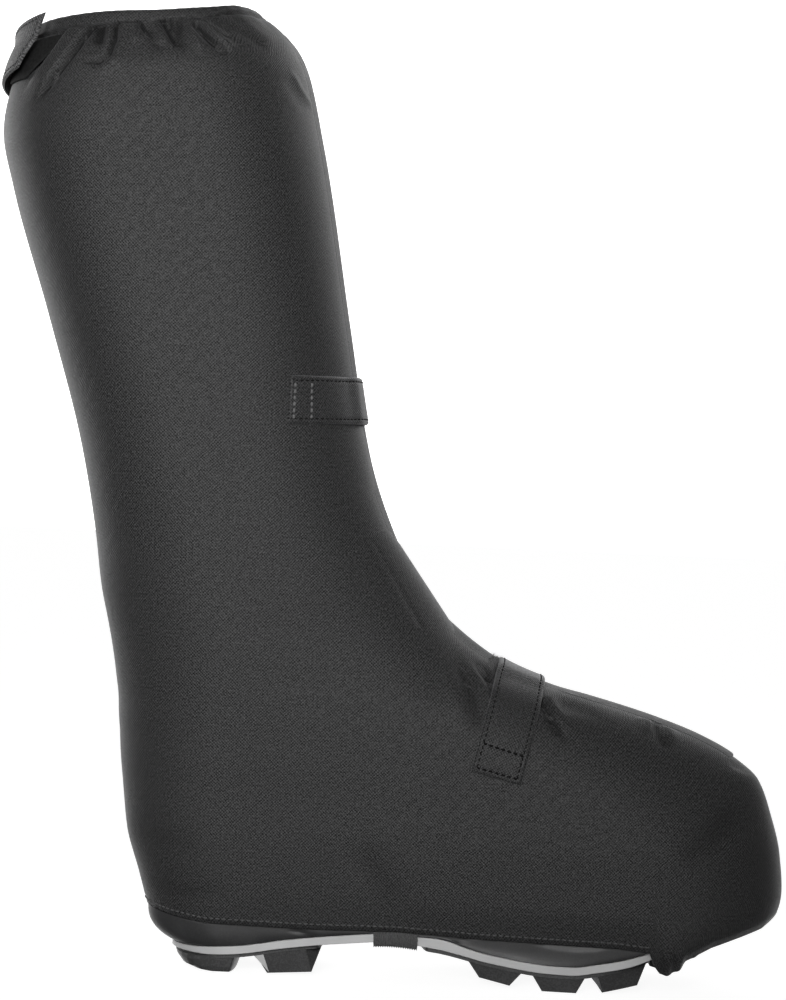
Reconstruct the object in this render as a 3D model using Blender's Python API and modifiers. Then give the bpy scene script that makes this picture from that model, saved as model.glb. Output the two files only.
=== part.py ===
"""Tall fabric overshoe standing on a lugged sole: a left shoe, empty, with its toe towards +X.

Sizes in the tables and constants are millimetres, and the meshes are made in metres. The origin is on
the floor, in the middle of the rear heel lug's flat. The inner side of the foot is towards -Y.
"""
import math
from bisect import bisect_right
from collections import namedtuple

import bmesh
import bpy
from mathutils import Vector

MM = 0.001
NAME = "overshoe"

# Walls and gaps
CLOTH = 1.4           # wall of the cover
FLAP = 1.0            # closure flap
STRAP = 1.5           # sewn straps
WEBBING = 1.4         # arch strap
GAP = 0.3             # between pieces that lie on each other
SOLE_GAP = 0.6        # between the cover's wall and the sole inside it
CASING = 0.8          # how far the elastic collar casing stands proud of the wall

# Points round a section: along the curved toe end, the side and the curved heel end
TOE_STEPS = 10
SIDE_SHARES = (0.0, 0.03, 0.2, 0.4, 0.6, 0.8, 1.0)
HEEL_STEPS = 6
SOLE_SHARES = tuple(i / 16 for i in range(17))

# Sections of the cover at rising heights. Each is a long round with a width at the heel and one at the
# ball, and curved ends of their own lengths. steps is the number of rings up to the next section.
Section = namedtuple("Section", "z rear front heel_half ball_half heel_round toe_round steps")
COVER = (
    Section(22, -38.5, 257.5, 35.5, 49.5, 38, 54.5, 3),
    Section(38, -42.5, 259.0, 38.0, 52.5, 42, 58, 2),
    Section(62, -48.0, 258.0, 40.0, 52.0, 46, 66, 2),
    Section(84, -51.0, 252.5, 41.0, 48.5, 50, 80, 1),
    Section(98, -52.7, 246.0, 42.0, 46.0, 52, 100, 2),
    Section(108, -53.5, 234.0, 42.5, 44.5, 54, 116, 2),
    Section(116, -54.3, 218.5, 43.0, 43.5, 55, 126, 2),
    Section(124, -54.8, 196.0, 43.5, 43.0, 56, 132, 2),
    Section(132, -56.0, 167.0, 44.0, 43.0, 57, 128, 2),
    Section(140, -57.3, 138.0, 44.5, 43.5, 58, 115, 2),
    Section(148, -58.8, 120.0, 45.0, 44.0, 59, 104, 2),
    Section(158, -61.0, 105.0, 45.5, 44.5, 60, 95, 1),
    Section(175, -65.0, 88.0, 46.0, 45.5, 58, 78, 1),
    Section(200, -68.8, 72.5, 47.0, 47.0, 54, 68, 2),
    Section(240, -77.0, 57.5, 49.0, 49.0, 50, 60, 2),
    Section(300, -95.0, 45.5, 52.0, 52.0, 50, 56, 1),
    Section(360, -114.4, 34.5, 55.5, 55.5, 53, 58, 1),
    Section(386, -120.0, 29.0, 57.0, 57.0, 54, 58, 2),
    Section(412, -116.5, 22.0, 54.5, 54.5, 53, 56, 1),
    Section(425, -112.0, 15.0, 49.0, 49.0, 50, 51, 1),
    Section(433, -108.5, 6.0, 43.5, 43.5, 46, 45, 1),
    Section(440, -106.0, -3.5, 41.0, 41.0, 44, 41, 0),
)
FOOT_TOP = 62.0       # below this height the sections bend to follow the hem
RIM_START = 386.0     # above this height they tilt, up to the collar's rim
RIM_TILT = 0.105      # rise of the rim from rear to front, for each unit of length
CASING_FOOT = 433.0   # height where the collar casing starts
CASING_STEP = 0.8     # height over which it steps out

# Lower edge of the cover, seen from the side: a level hem, then the toe cup's rear edge and its underside
HEM = (
    (-38.0, 28.0), (-24.0, 25.3), (-8.0, 23.0), (40.0, 22.5), (80.0, 23.6), (120.0, 22.4), (180.0, 22.0),
    (197.0, 20.8), (203.0, 9.0), (210.0, 12.0), (216.0, 17.5), (226.0, 22.0), (236.0, 25.5), (250.0, 31.0),
    (257.0, 38.0),
)
CUP_ROWS = 5          # points across the toe cup's underside, between its edges
CUP_SAG = 1.0         # how far the underside bellies down between its edges
CUP_TUCK = 7.0        # how far the cup's lower edge is tucked in under the toe
CUP_REAR = 203.0      # rear edge of the cup

# The last's curve: the forefoot swings to the inner side
SWING = 8.0           # at the toe
SWING_LENGTH = 250.0

# Underside of the grey plate, along the foot: heel, arch, ball and toe spring
PLATE_CURVE = (
    (-25.0, 8.7), (-8.0, 8.1), (5.0, 8.7), (30.0, 12.8), (55.0, 16.2), (78.0, 18.2), (98.0, 16.5),
    (125.0, 11.2), (150.0, 8.3), (160.0, 8.1), (173.0, 10.1), (186.0, 12.9), (200.0, 18.2), (222.0, 26.5),
    (242.0, 34.0),
)
PLATE = 3.7           # its thickness
PLATE_REAR = 0.6      # share of it left at the rear end
PLATE_TAPER = 25.0    # length of the taper
PLATE_PLAN = Section(0, -24.5, 238.0, 32.5, 46.5, 27, 62, 0)

# Top of the midsole along the foot, and the footbed on it
BED_CURVE = ((-40.0, 30.0), (60.0, 29.0), (150.0, 27.0), (190.0, 30.0), (222.0, 39.0), (246.0, 49.0))
INSOLE = 3.0
INSOLE_INSET = 2.0    # inside the midsole's edge
MIDSOLE_TOE = 246.0   # it stops short of the toe cup's front
LIP = 0.8             # below the hem the heel swells out to this far inside the cover's outer face
LEDGE = 0.3           # height of the ledge that the hem sits on
LEDGE_END = 190.0     # the ledge stops before the toe cup
BULGE_HEIGHT = 0.4    # share of the height, and of the swell, at the middle of the rounded side
BULGE_OUT = 0.85
BULGE_HEEL = 0.72     # the same at the rear of the heel, which slopes more

# Treads: thin webs under the plate that carry the lugs
WEB = 1.5
HEEL_WEB = Section(0, -22.8, 47.6, 30.5, 31.0, 22, 4, 0)
FORE_WEB = Section(0, 91.0, 216.0, 40.0, 45.8, 4, 48, 0)

# Rounded rear heel lug: its plan at falling heights, down to the flat that it rests on
HEEL_LUG = (
    Section(7.3, -22.6, 8.4, 30.0, 30.0, 14, 3, 0),
    Section(5.4, -22.0, 8.0, 29.8, 29.8, 12, 3, 0),
    Section(2.3, -19.4, 7.2, 29.3, 29.3, 10, 3, 0),
    Section(0.6, -14.6, 6.7, 28.7, 28.7, 8, 3, 0),
    Section(0.0, -9.8, 6.4, 28.2, 28.2, 6, 3, 0),
)

# Lugs in pairs, seen from the side: where the rear and front faces leave the web, where they reach the
# foot of the lug, and the foot's height at its two ends
Lug = namedtuple("Lug", "rear_top rear_foot front_foot front_top rear_z front_z")
HEEL_LUGS = (Lug(15.5, 21.5, 41.9, 46.4, 0.4, 1.8),)
FORE_LUGS = (
    Lug(113.0, 118.8, 132.7, 138.3, 4.4, 1.5),
    Lug(142.5, 147.5, 163.0, 167.0, 0.0, 0.0),
    Lug(169.5, 174.8, 191.0, 195.0, 0.8, 4.2),
    Lug(195.9, 196.6, 202.0, 213.5, 12.8, 10.9),
)
HEEL_CHANNEL = 9.0    # half the channel between the two lugs of a pair
FORE_CHANNEL = 14.0
LUG_EDGE = 0.5        # a lug stops this far inside its web
LUG_SECTIONS = 4
LUG_DRAFT = 1.5       # how much narrower each side of a lug is at its foot

# Closure flap: its edges on both sides of the front ridge, and its ends as heights on the cover
FLAP_NEAR = -9.0
FLAP_FAR = 20.0
FLAP_COLUMNS = 6
FLAP_TOE = 104.5
FLAP_TOP = 430.0
FLAP_MARGIN = 4.0     # a strap is fully up this far before the flap's edge
FLAP_STEP_OUT = 9.0   # length over which it climbs
FLAP_CLEAR = 0.6      # between the flap's face and the strap

# Shin strap: heights of its edges and the angles round the shaft's front of its two ends
SHIN_BOTTOM = 253.5
SHIN_TOP = 275.5
SHIN_NEAR_ANGLE = -62.0
SHIN_FAR_ANGLE = 80.0
SHIN_COLUMNS = 22
SHIN_ROWS = 3

# Instep strap: a band in a plane that leans forward, from its sewn end up over the foot's ridge
INSTEP_FOOT = (122.2, 96.0)
INSTEP_LEAN = 13.2    # degrees from upright
INSTEP_WIDTH = 23.5
INSTEP_ROWS = 4
INSTEP_COLUMNS = 9    # on each side of the ridge
INSTEP_REACH = (20.0, 90.0)  # where the ridge is looked for along the band
INSTEP_HALVINGS = 40  # of that stretch, to find it

# Collar strap: round the rear of the collar, sewn on the far side, its near end free and raised
COLLAR_NEAR_ANGLES = (33.0, 48.0)  # of the free end's bottom and top corners
COLLAR_FAR_ANGLE = -70.0
COLLAR_COLUMNS = 12
COLLAR_ROWS = 3
COLLAR_WIDTH = 26.0
COLLAR_BOTTOM = 398.0
COLLAR_CLIMB = 14.0   # how much higher the free end is
COLLAR_LIFT = 1.5     # how far the free end stands off
COLLAR_PLAN_TOP = 418.0  # the strap doesn't follow the drawn-in collar above this height

# Arch strap: its ends along the foot
ARCH_REAR = 70.0
ARCH_FRONT = 90.0
ARCH_ROWS = 3
ARCH_DROP = 0.8       # its ends stop this far under the hem
ARCH_BOW = 1.2        # how far it bows out beside the sole, half way down and at the plate's lower edge
ARCH_BOW_LOW = 0.7
ARCH_BEND = 0.5       # height above the plate's underside where it starts to turn in

SHARP_ANGLE = 40.0    # an edge that bends more than this is drawn sharp
FABRIC_COLOUR = (0.045, 0.045, 0.046)
STRAP_COLOUR = (0.04, 0.04, 0.041)
WEBBING_COLOUR = (0.05, 0.05, 0.051)
RUBBER_COLOUR = (0.028, 0.028, 0.029)
PLATE_COLOUR = (0.42, 0.42, 0.42)
INSOLE_COLOUR = (0.03, 0.03, 0.031)


def clear_scene():
    for obj in list(bpy.data.objects):
        bpy.data.objects.remove(obj, do_unlink=True)


def smooth(share):
    """Eases from 0 to 1."""
    share = min(max(share, 0.0), 1.0)
    return share * share * (3.0 - 2.0 * share)


def mix(a, b, share):
    return a + (b - a) * share


def smooth_curve(knots):
    """A smooth curve through (place, value) knots that never overshoots them."""
    places = [place for place, _ in knots]
    values = [value for _, value in knots]
    spans = [b - a for a, b in zip(places, places[1:])]
    slopes = [(b - a) / span for a, b, span in zip(values, values[1:], spans)]
    tangents = [slopes[0]]
    for before, after in zip(slopes, slopes[1:]):
        same_way = before * after > 0.0
        tangents.append(2.0 * before * after / (before + after) if same_way else 0.0)
    tangents.append(slopes[-1])

    def curve(place):
        i = min(max(bisect_right(places, place) - 1, 0), len(spans) - 1)
        t = min(max((place - places[i]) / spans[i], 0.0), 1.0)
        s = 1.0 - t
        ends = values[i] * (1.0 + 2.0 * t) * s * s + values[i + 1] * (3.0 - 2.0 * t) * t * t
        return ends + spans[i] * (tangents[i] * t * s * s - tangents[i + 1] * t * t * s)

    return curve


def straight_curve(knots):
    """Straight stretches between (place, value) knots."""
    places = [place for place, _ in knots]

    def curve(place):
        i = min(max(bisect_right(places, place) - 1, 0), len(knots) - 2)
        (x0, v0), (x1, v1) = knots[i], knots[i + 1]
        return v0 + (v1 - v0) * min(max((place - x0) / (x1 - x0), 0.0), 1.0)

    return curve


def section_at(height):
    """The cover's section at a height, worked out between the rows of the table."""
    return Section(height, *(curve(height) for curve in COVER_CURVES), 0)


def centre(x):
    """Middle line of the foot, which swings to the inner side towards the toe."""
    return -SWING * (max(x, 0.0) / SWING_LENGTH) ** 2


def half_width(section, x):
    """Half width of a section at one place along it."""
    ball_x = section.front - section.toe_round
    heel_x = section.rear + section.heel_round
    if x >= ball_x:
        share = min((x - ball_x) / section.toe_round, 1.0)
        return section.ball_half * math.sqrt(1.0 - share * share)
    if x <= heel_x:
        share = min((heel_x - x) / section.heel_round, 1.0)
        return section.heel_half * math.sqrt(1.0 - share * share)
    share = smooth((ball_x - x) / (ball_x - heel_x))
    return section.ball_half + (section.heel_half - section.ball_half) * share


def grown(section, amount):
    """The same section, larger all round."""
    return section._replace(
        rear=section.rear - amount,
        front=section.front + amount,
        heel_half=section.heel_half + amount,
        ball_half=section.ball_half + amount,
        heel_round=section.heel_round + amount,
        toe_round=section.toe_round + amount,
    )


def plan(section, side_shares=SIDE_SHARES):
    """Points round a section, from the toe along the inner side to the heel and back along the outer side."""
    ball_x = section.front - section.toe_round
    heel_x = section.rear + section.heel_round
    stations = []
    for i in range(TOE_STEPS):
        stations.append(ball_x + section.toe_round * math.cos(math.pi / 2 * i / TOE_STEPS))
    for share in side_shares:
        stations.append(ball_x + (heel_x - ball_x) * share)
    for i in range(1, HEEL_STEPS + 1):
        stations.append(heel_x - section.heel_round * math.sin(math.pi / 2 * i / HEEL_STEPS))
    inner = [(x, centre(x) - half_width(section, x)) for x in stations]
    outer = [(x, centre(x) + half_width(section, x)) for x in reversed(stations[1:-1])]
    return inner + outer


def rise(section, x):
    """Height of a cover section at one place: bent to the hem low down, tilted at the collar."""
    if section.z < FOOT_TOP:
        share = (section.z - COVER[0].z) / (FOOT_TOP - COVER[0].z)
        return hem(x) * (1.0 - share) + FOOT_TOP * share
    tilt = RIM_TILT * smooth((section.z - RIM_START) / (COVER[-1].z - RIM_START))
    return section.z + tilt * (x - (section.rear + section.front) / 2)


COVER_CURVES = [
    smooth_curve([(row.z, row[column]) for row in COVER]) for column in range(1, len(Section._fields) - 1)
]
hem = straight_curve(HEM)
plate_underside = smooth_curve(PLATE_CURVE)
bed = smooth_curve(BED_CURVE)


def plate_top(x):
    taper = smooth((x - PLATE_PLAN.rear) / PLATE_TAPER)
    return plate_underside(x) + PLATE * mix(PLATE_REAR, 1.0, taper)


def material(name, colour, roughness):
    finish = bpy.data.materials.new(name)
    finish.use_nodes = True
    shader = finish.node_tree.nodes["Principled BSDF"]
    shader.inputs["Base Color"].default_value = (*colour, 1.0)
    shader.inputs["Roughness"].default_value = roughness
    return finish


def add_object(name, mesh, finish, collection, parent):
    obj = bpy.data.objects.new(name, mesh)
    obj.parent = parent
    mesh.materials.append(finish)
    collection.objects.link(obj)
    mesh.shade_smooth()
    mesh.set_sharp_from_angle(angle=math.radians(SHARP_ANGLE))
    return obj


def mesh_of(name, bm):
    mesh = bpy.data.meshes.new(name)
    bm.to_mesh(mesh)
    bm.free()
    return mesh


def add_ring(bm, points):
    return [bm.verts.new(Vector(point) * MM) for point in points]


def bridge(bm, lower, upper):
    """Outward faces between two rings of the plan's order."""
    for i in range(len(lower)):
        j = (i + 1) % len(lower)
        bm.faces.new((lower[i], upper[i], upper[j], lower[j]))


def cap(bm, ring, facing_up):
    """Closes a ring with strips across the foot, from each inner point to the outer point opposite."""
    count = len(ring)
    for i in range(count // 2):
        corners = [ring[i], ring[i + 1], ring[count - i - 1], ring[-i]]
        face = list(dict.fromkeys(corners))
        bm.faces.new(face if not facing_up else face[::-1])


def slab(name, layers):
    """A closed solid through layers of a plan and a height along it, from the lowest to the highest."""
    bm = bmesh.new()
    rings = []
    for section, height in layers:
        rings.append(add_ring(bm, [(x, y, height(x)) for x, y in plan(section, SOLE_SHARES)]))
    for lower, upper in zip(rings, rings[1:]):
        bridge(bm, lower, upper)
    cap(bm, rings[0], facing_up=False)
    cap(bm, rings[-1], facing_up=True)
    bmesh.ops.recalc_face_normals(bm, faces=bm.faces)
    return mesh_of(name, bm)


def sheet(name, grid, lifts):
    """An open strip through a grid of points, raised off them along its own normals."""
    bm = bmesh.new()
    rows = [add_ring(bm, row) for row in grid]
    for lower, upper in zip(rows, rows[1:]):
        for i in range(len(lower) - 1):
            bm.faces.new((lower[i], lower[i + 1], upper[i + 1], upper[i]))
    bm.normal_update()
    for row, row_lifts in zip(rows, lifts):
        for vert, lift in zip(row, row_lifts):
            vert.co += vert.normal * lift * MM
    return mesh_of(name, bm)


def thicken(obj, thickness, outwards):
    shell = obj.modifiers.new("wall", "SOLIDIFY")
    shell.thickness = thickness * MM
    shell.offset = 1.0 if outwards else -1.0
    shell.use_quality_normals = True


def unite(obj, cutter, collection):
    cutter.hide_render = True
    cutter.display_type = "WIRE"
    collection.objects.link(cutter)
    join = obj.modifiers.new("lugs", "BOOLEAN")
    join.operation = "UNION"
    join.solver = "MANIFOLD"
    join.object = cutter


def cover_heights():
    """Heights of the cover's rings, with the given number of steps between the table's sections."""
    heights = []
    for row, above in zip(COVER, COVER[1:]):
        heights += [row.z + (above.z - row.z) * i / row.steps for i in range(row.steps)]
    return heights + [COVER[-1].z]


def upper_mesh():
    """The cover's outer face, from the hem to the collar, with the toe cup's underside."""
    bm = bmesh.new()
    rings = []
    for height in cover_heights():
        section = section_at(height)
        layers = [section]
        if height == CASING_FOOT:
            layers.append(grown(section_at(height + CASING_STEP), CASING))
        if height > CASING_FOOT:
            layers = [grown(section, CASING)]
        rings += [add_ring(bm, [(x, y, rise(layer, x)) for x, y in plan(layer)]) for layer in layers]
    tuck_toe(rings[0])
    for lower, upper in zip(rings, rings[1:]):
        bridge(bm, lower, upper)
    add_toe_floor(bm, rings[0])
    return mesh_of("upper", bm)


def tuck_toe(hem_ring):
    """Draws the toe cup's lower edge in, towards the middle of the cup's rear edge."""
    middle = Vector((CUP_REAR, centre(CUP_REAR), 0.0)) * MM
    for i in range(-TOE_STEPS, TOE_STEPS + 1):
        inward = middle - hem_ring[i].co
        inward.z = 0.0
        hem_ring[i].co += inward.normalized() * CUP_TUCK * MM * abs(i) / TOE_STEPS


def add_toe_floor(bm, hem_ring):
    """Rows across the toe cup's underside, from each point of its inner edge to the outer one."""
    rows = [[hem_ring[0]] * (CUP_ROWS + 2)]
    for i in range(1, TOE_STEPS + 1):
        inner, outer = hem_ring[i], hem_ring[-i]
        row = [inner]
        for j in range(1, CUP_ROWS + 1):
            share = j / (CUP_ROWS + 1)
            point = inner.co.lerp(outer.co, share)
            sag = CUP_SAG * (1.0 - (2.0 * share - 1.0) ** 4) * min(i / TOE_STEPS * 2.0, 1.0)
            row.append(bm.verts.new(point - Vector((0.0, 0.0, sag * MM))))
        rows.append(row + [outer])
    for front, back in zip(rows, rows[1:]):
        for j in range(CUP_ROWS + 1):
            corners = (front[j], back[j], back[j + 1], front[j + 1])
            bm.faces.new(list(dict.fromkeys(corners)))


def on_flap(y):
    """How far a point near the front ridge is on the flap, from 0 beside it to 1 on it."""
    beside = max(FLAP_NEAR - FLAP_MARGIN - y, y - FLAP_FAR - FLAP_MARGIN, 0.0)
    return smooth(1.0 - beside / FLAP_STEP_OUT)


def strap_lift(y):
    """Lift of a strap that lies on the cover and climbs over the flap."""
    return GAP + (FLAP + FLAP_CLEAR) * on_flap(y)


def flap_mesh():
    heights = [h for h in cover_heights() if FLAP_TOE < h < FLAP_TOP]
    grid = []
    for height in [FLAP_TOE, *heights, FLAP_TOP]:
        section = section_at(height)
        row = []
        for j in range(FLAP_COLUMNS + 1):
            y = FLAP_NEAR + (FLAP_FAR - FLAP_NEAR) * j / FLAP_COLUMNS
            x = section.front - section.toe_round * (1.0 - math.sqrt(1.0 - (y / section.ball_half) ** 2))
            row.append((x, centre(x) + y, rise(section, x)))
        grid.append(row)
    return sheet("front_flap", grid, [[GAP] * len(row) for row in grid])


def shin_strap_mesh():
    grid = []
    lifts = []
    for i in range(SHIN_ROWS + 1):
        section = section_at(SHIN_BOTTOM + (SHIN_TOP - SHIN_BOTTOM) * i / SHIN_ROWS)
        row = []
        for j in range(SHIN_COLUMNS + 1):
            share = j / SHIN_COLUMNS
            angle = math.radians(SHIN_NEAR_ANGLE + (SHIN_FAR_ANGLE - SHIN_NEAR_ANGLE) * share)
            x = section.front - section.toe_round * (1.0 - math.cos(angle))
            row.append((x, centre(x) + section.ball_half * math.sin(angle), section.z))
        grid.append(row)
        lifts.append([strap_lift(y - centre(x)) for x, y, z in row])
    return sheet("shin_strap", grid, lifts)


def ridge_along(start_x, start_z, run_x, run_z):
    """Distance up a leaning line at which it comes out through the foot's ridge."""
    low, high = INSTEP_REACH
    for _ in range(INSTEP_HALVINGS):
        middle = (low + high) / 2
        inside = start_x + run_x * middle < section_at(start_z + run_z * middle).front
        low, high = (middle, high) if inside else (low, middle)
    return low


def instep_strap_mesh():
    run_x = math.sin(math.radians(INSTEP_LEAN))
    run_z = math.cos(math.radians(INSTEP_LEAN))
    grid = []
    lifts = []
    for i in range(INSTEP_ROWS + 1):
        across = INSTEP_WIDTH * (0.5 - i / INSTEP_ROWS)
        start_x = INSTEP_FOOT[0] + run_z * across
        start_z = INSTEP_FOOT[1] - run_x * across
        ridge = ridge_along(start_x, start_z, run_x, run_z)
        row = []
        for j in range(-INSTEP_COLUMNS, INSTEP_COLUMNS + 1):
            up = ridge * math.cos(math.pi / 2 * j / INSTEP_COLUMNS)
            x = start_x + run_x * up
            z = start_z + run_z * up
            side = half_width(section_at(z), x) if j else 0.0
            row.append((x, centre(x) + math.copysign(side, j), z))
        grid.append(row)
        lifts.append([strap_lift(y - centre(x)) for x, y, z in row])
    return sheet("instep_strap", grid, lifts)


def collar_strap_mesh():
    grid = []
    lifts = []
    for i in range(COLLAR_ROWS + 1):
        near_angle = mix(*COLLAR_NEAR_ANGLES, i / COLLAR_ROWS)
        row = []
        row_lifts = []
        for j in range(COLLAR_COLUMNS + 1):
            share = j / COLLAR_COLUMNS
            free = max(2.0 * share - 1.0, 0.0) ** 2
            angle = math.radians(mix(COLLAR_FAR_ANGLE, near_angle, share))
            z = COLLAR_BOTTOM + COLLAR_WIDTH * i / COLLAR_ROWS + COLLAR_CLIMB * free
            section = section_at(min(z, COLLAR_PLAN_TOP))
            x = section.rear + section.heel_round * (1.0 - math.cos(angle))
            row.append((x, -section.heel_half * math.sin(angle), z))
            row_lifts.append(2.0 * GAP + COLLAR_LIFT * free)
        grid.append(row)
        lifts.append(row_lifts)
    return sheet("collar_strap", grid, lifts)


def arch_strap_mesh():
    grid = []
    for i in range(ARCH_ROWS + 1):
        x = ARCH_REAR + (ARCH_FRONT - ARCH_REAR) * i / ARCH_ROWS
        hem_half = half_width(COVER[0], x) - WEBBING
        plate_half = half_width(PLATE_PLAN, x)
        under = plate_underside(x) - GAP
        side = [
            (hem_half, hem(x) - ARCH_DROP),
            (plate_half + ARCH_BOW, (hem(x) + under) / 2),
            (plate_half + ARCH_BOW_LOW, under + ARCH_BEND),
            (plate_half - GAP, under - GAP),
            (plate_half / 2, under),
        ]
        inner = [(x, centre(x) - half, z) for half, z in side]
        outer = [(x, centre(x) + half, z) for half, z in reversed(side)]
        grid.append(inner + [(x, centre(x), under)] + outer)
    return sheet("arch_strap", grid, [[0.0] * len(row) for row in grid])


def shortened(section, toe):
    """The same section with its toe end moved back, its side kept."""
    return section._replace(front=toe, toe_round=section.toe_round - section.front + toe)


def midsole_mesh():
    """From the plate up to the footbed: a rounded side that swells out to a ledge under the hem."""
    wall = shortened(grown(COVER[0], -CLOTH - SOLE_GAP), MIDSOLE_TOE)
    swell = CLOTH + SOLE_GAP - LIP
    lip = wall._replace(rear=wall.rear - swell, heel_round=wall.heel_round + swell)
    side = Section(*(mix(a, b, BULGE_OUT) for a, b in zip(PLATE_PLAN, lip)))
    rear = mix(PLATE_PLAN.rear, lip.rear, BULGE_HEEL)
    side = side._replace(rear=rear, heel_round=side.heel_round + side.rear - rear)

    def foot(x):
        return plate_top(x) + GAP

    def ledge(x):
        return max(hem(min(x, LEDGE_END)) - GAP - LEDGE, foot(x) + LEDGE)

    layers = [
        (PLATE_PLAN, foot),
        (side, lambda x: mix(foot(x), ledge(x), BULGE_HEIGHT)),
        (lip, ledge),
        (wall, lambda x: ledge(x) + LEDGE),
        (wall, bed),
    ]
    return slab("midsole", layers)


def insole_mesh():
    outline = shortened(grown(COVER[0], -CLOTH - SOLE_GAP - INSOLE_INSET), MIDSOLE_TOE - INSOLE_INSET)
    return slab("insole", [(outline, lambda x: bed(x) + GAP), (outline, lambda x: bed(x) + GAP + INSOLE)])


def plate_mesh():
    return slab("plate", [(PLATE_PLAN, plate_underside), (PLATE_PLAN, plate_top)])


def web_bottom(x):
    return plate_underside(x) - GAP - WEB


def web_mesh(name, outline):
    return slab(name, [(outline, web_bottom), (outline, lambda x: plate_underside(x) - GAP)])


def lug_section(lug, share, side, outline, channel):
    """Four corners of a lug at one share of its length: two in the web, then two at its foot."""
    top_x = mix(lug.rear_top, lug.front_top, share)
    top_z = web_bottom(top_x) + WEB / 2
    foot_x = mix(lug.rear_foot, lug.front_foot, share)
    foot_z = mix(lug.rear_z, lug.front_z, share)
    top_edge = half_width(outline, top_x) - LUG_EDGE
    foot_edge = half_width(outline, foot_x) - LUG_EDGE - LUG_DRAFT
    return [
        (top_x, centre(top_x) + side * channel, top_z),
        (top_x, centre(top_x) + side * top_edge, top_z),
        (foot_x, centre(foot_x) + side * foot_edge, foot_z),
        (foot_x, centre(foot_x) + side * (channel + LUG_DRAFT), foot_z),
    ]


def lug_pairs(name, lugs, outline, channel):
    """Tapered lugs in pairs, lofted along the foot with their tops inside the web."""
    bm = bmesh.new()
    for lug in lugs:
        for side in (-1.0, 1.0):
            shares = [i / LUG_SECTIONS for i in range(LUG_SECTIONS + 1)]
            rings = [add_ring(bm, lug_section(lug, share, side, outline, channel)) for share in shares]
            for rear, front in zip(rings, rings[1:]):
                bridge(bm, rear, front)
            bm.faces.new(rings[0])
            bm.faces.new(rings[-1])
    bmesh.ops.recalc_face_normals(bm, faces=bm.faces)
    return mesh_of(name, bm)


def heel_lug_mesh():
    return slab("rear_heel_lug", [(layer, lambda x, z=layer.z: z) for layer in reversed(HEEL_LUG)])


def main():
    clear_scene()
    parts = bpy.data.collections.new(NAME)
    cutters = bpy.data.collections.new("cutters")
    for collection in (parts, cutters):
        bpy.context.scene.collection.children.link(collection)
    root = bpy.data.objects.new(NAME, None)
    parts.objects.link(root)

    fabric = material("fabric", FABRIC_COLOUR, 0.85)
    strapping = material("strapping", STRAP_COLOUR, 0.8)
    webbing = material("webbing", WEBBING_COLOUR, 0.8)
    rubber = material("rubber", RUBBER_COLOUR, 0.5)
    stiff = material("plate", PLATE_COLOUR, 0.45)
    footbed = material("footbed", INSOLE_COLOUR, 0.9)

    upper = add_object("upper", upper_mesh(), fabric, parts, root)
    thicken(upper, CLOTH, outwards=False)
    flap = add_object("front_flap", flap_mesh(), fabric, parts, root)
    thicken(flap, FLAP, outwards=True)
    for mesh in (shin_strap_mesh(), instep_strap_mesh(), collar_strap_mesh()):
        strap = add_object(mesh.name, mesh, strapping, parts, root)
        thicken(strap, STRAP, outwards=True)
    arch = add_object("arch_strap", arch_strap_mesh(), webbing, parts, root)
    thicken(arch, WEBBING, outwards=True)

    add_object("insole", insole_mesh(), footbed, parts, root)
    add_object("midsole", midsole_mesh(), rubber, parts, root)
    add_object("plate", plate_mesh(), stiff, parts, root)

    heel = add_object("heel_tread", web_mesh("heel_tread", HEEL_WEB), rubber, parts, root)
    unite(heel, bpy.data.objects.new("rear_heel_lug", heel_lug_mesh()), cutters)
    heel_pair = lug_pairs("heel_lugs", HEEL_LUGS, HEEL_WEB, HEEL_CHANNEL)
    unite(heel, bpy.data.objects.new("heel_lugs", heel_pair), cutters)
    fore = add_object("forefoot_tread", web_mesh("forefoot_tread", FORE_WEB), rubber, parts, root)
    fore_pairs = lug_pairs("forefoot_lugs", FORE_LUGS, FORE_WEB, FORE_CHANNEL)
    unite(fore, bpy.data.objects.new("forefoot_lugs", fore_pairs), cutters)


main()
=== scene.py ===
"""Looks of a tall fabric overshoe: cloth cover with gathers, stitched straps, webbing and a lugged sole.

Sizes are millimetres in the shoe's own frame, and MM makes them metres.
The origin is on the floor under the heel, the toe is towards +X and the inner side of the foot towards -Y.
"""
import math
from collections import namedtuple

import bpy
import numpy as np
from mathutils import Matrix


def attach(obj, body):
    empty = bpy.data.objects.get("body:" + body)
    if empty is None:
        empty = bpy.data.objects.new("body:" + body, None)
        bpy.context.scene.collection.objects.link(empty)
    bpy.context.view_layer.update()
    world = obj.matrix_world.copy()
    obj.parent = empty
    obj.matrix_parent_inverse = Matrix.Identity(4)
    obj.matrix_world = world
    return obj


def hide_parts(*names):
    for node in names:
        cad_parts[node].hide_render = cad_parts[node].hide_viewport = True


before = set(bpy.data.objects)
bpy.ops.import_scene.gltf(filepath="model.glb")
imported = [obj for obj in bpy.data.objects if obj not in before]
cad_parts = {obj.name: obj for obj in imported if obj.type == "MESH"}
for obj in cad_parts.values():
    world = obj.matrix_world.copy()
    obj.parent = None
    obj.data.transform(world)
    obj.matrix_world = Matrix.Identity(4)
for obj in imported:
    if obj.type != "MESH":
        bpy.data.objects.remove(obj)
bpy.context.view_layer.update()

MM = 0.001
BODY = "root"
NEAR, FAR = -1.0, 1.0  # the inner side of the foot, which the camera sees, and the outer one

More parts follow.
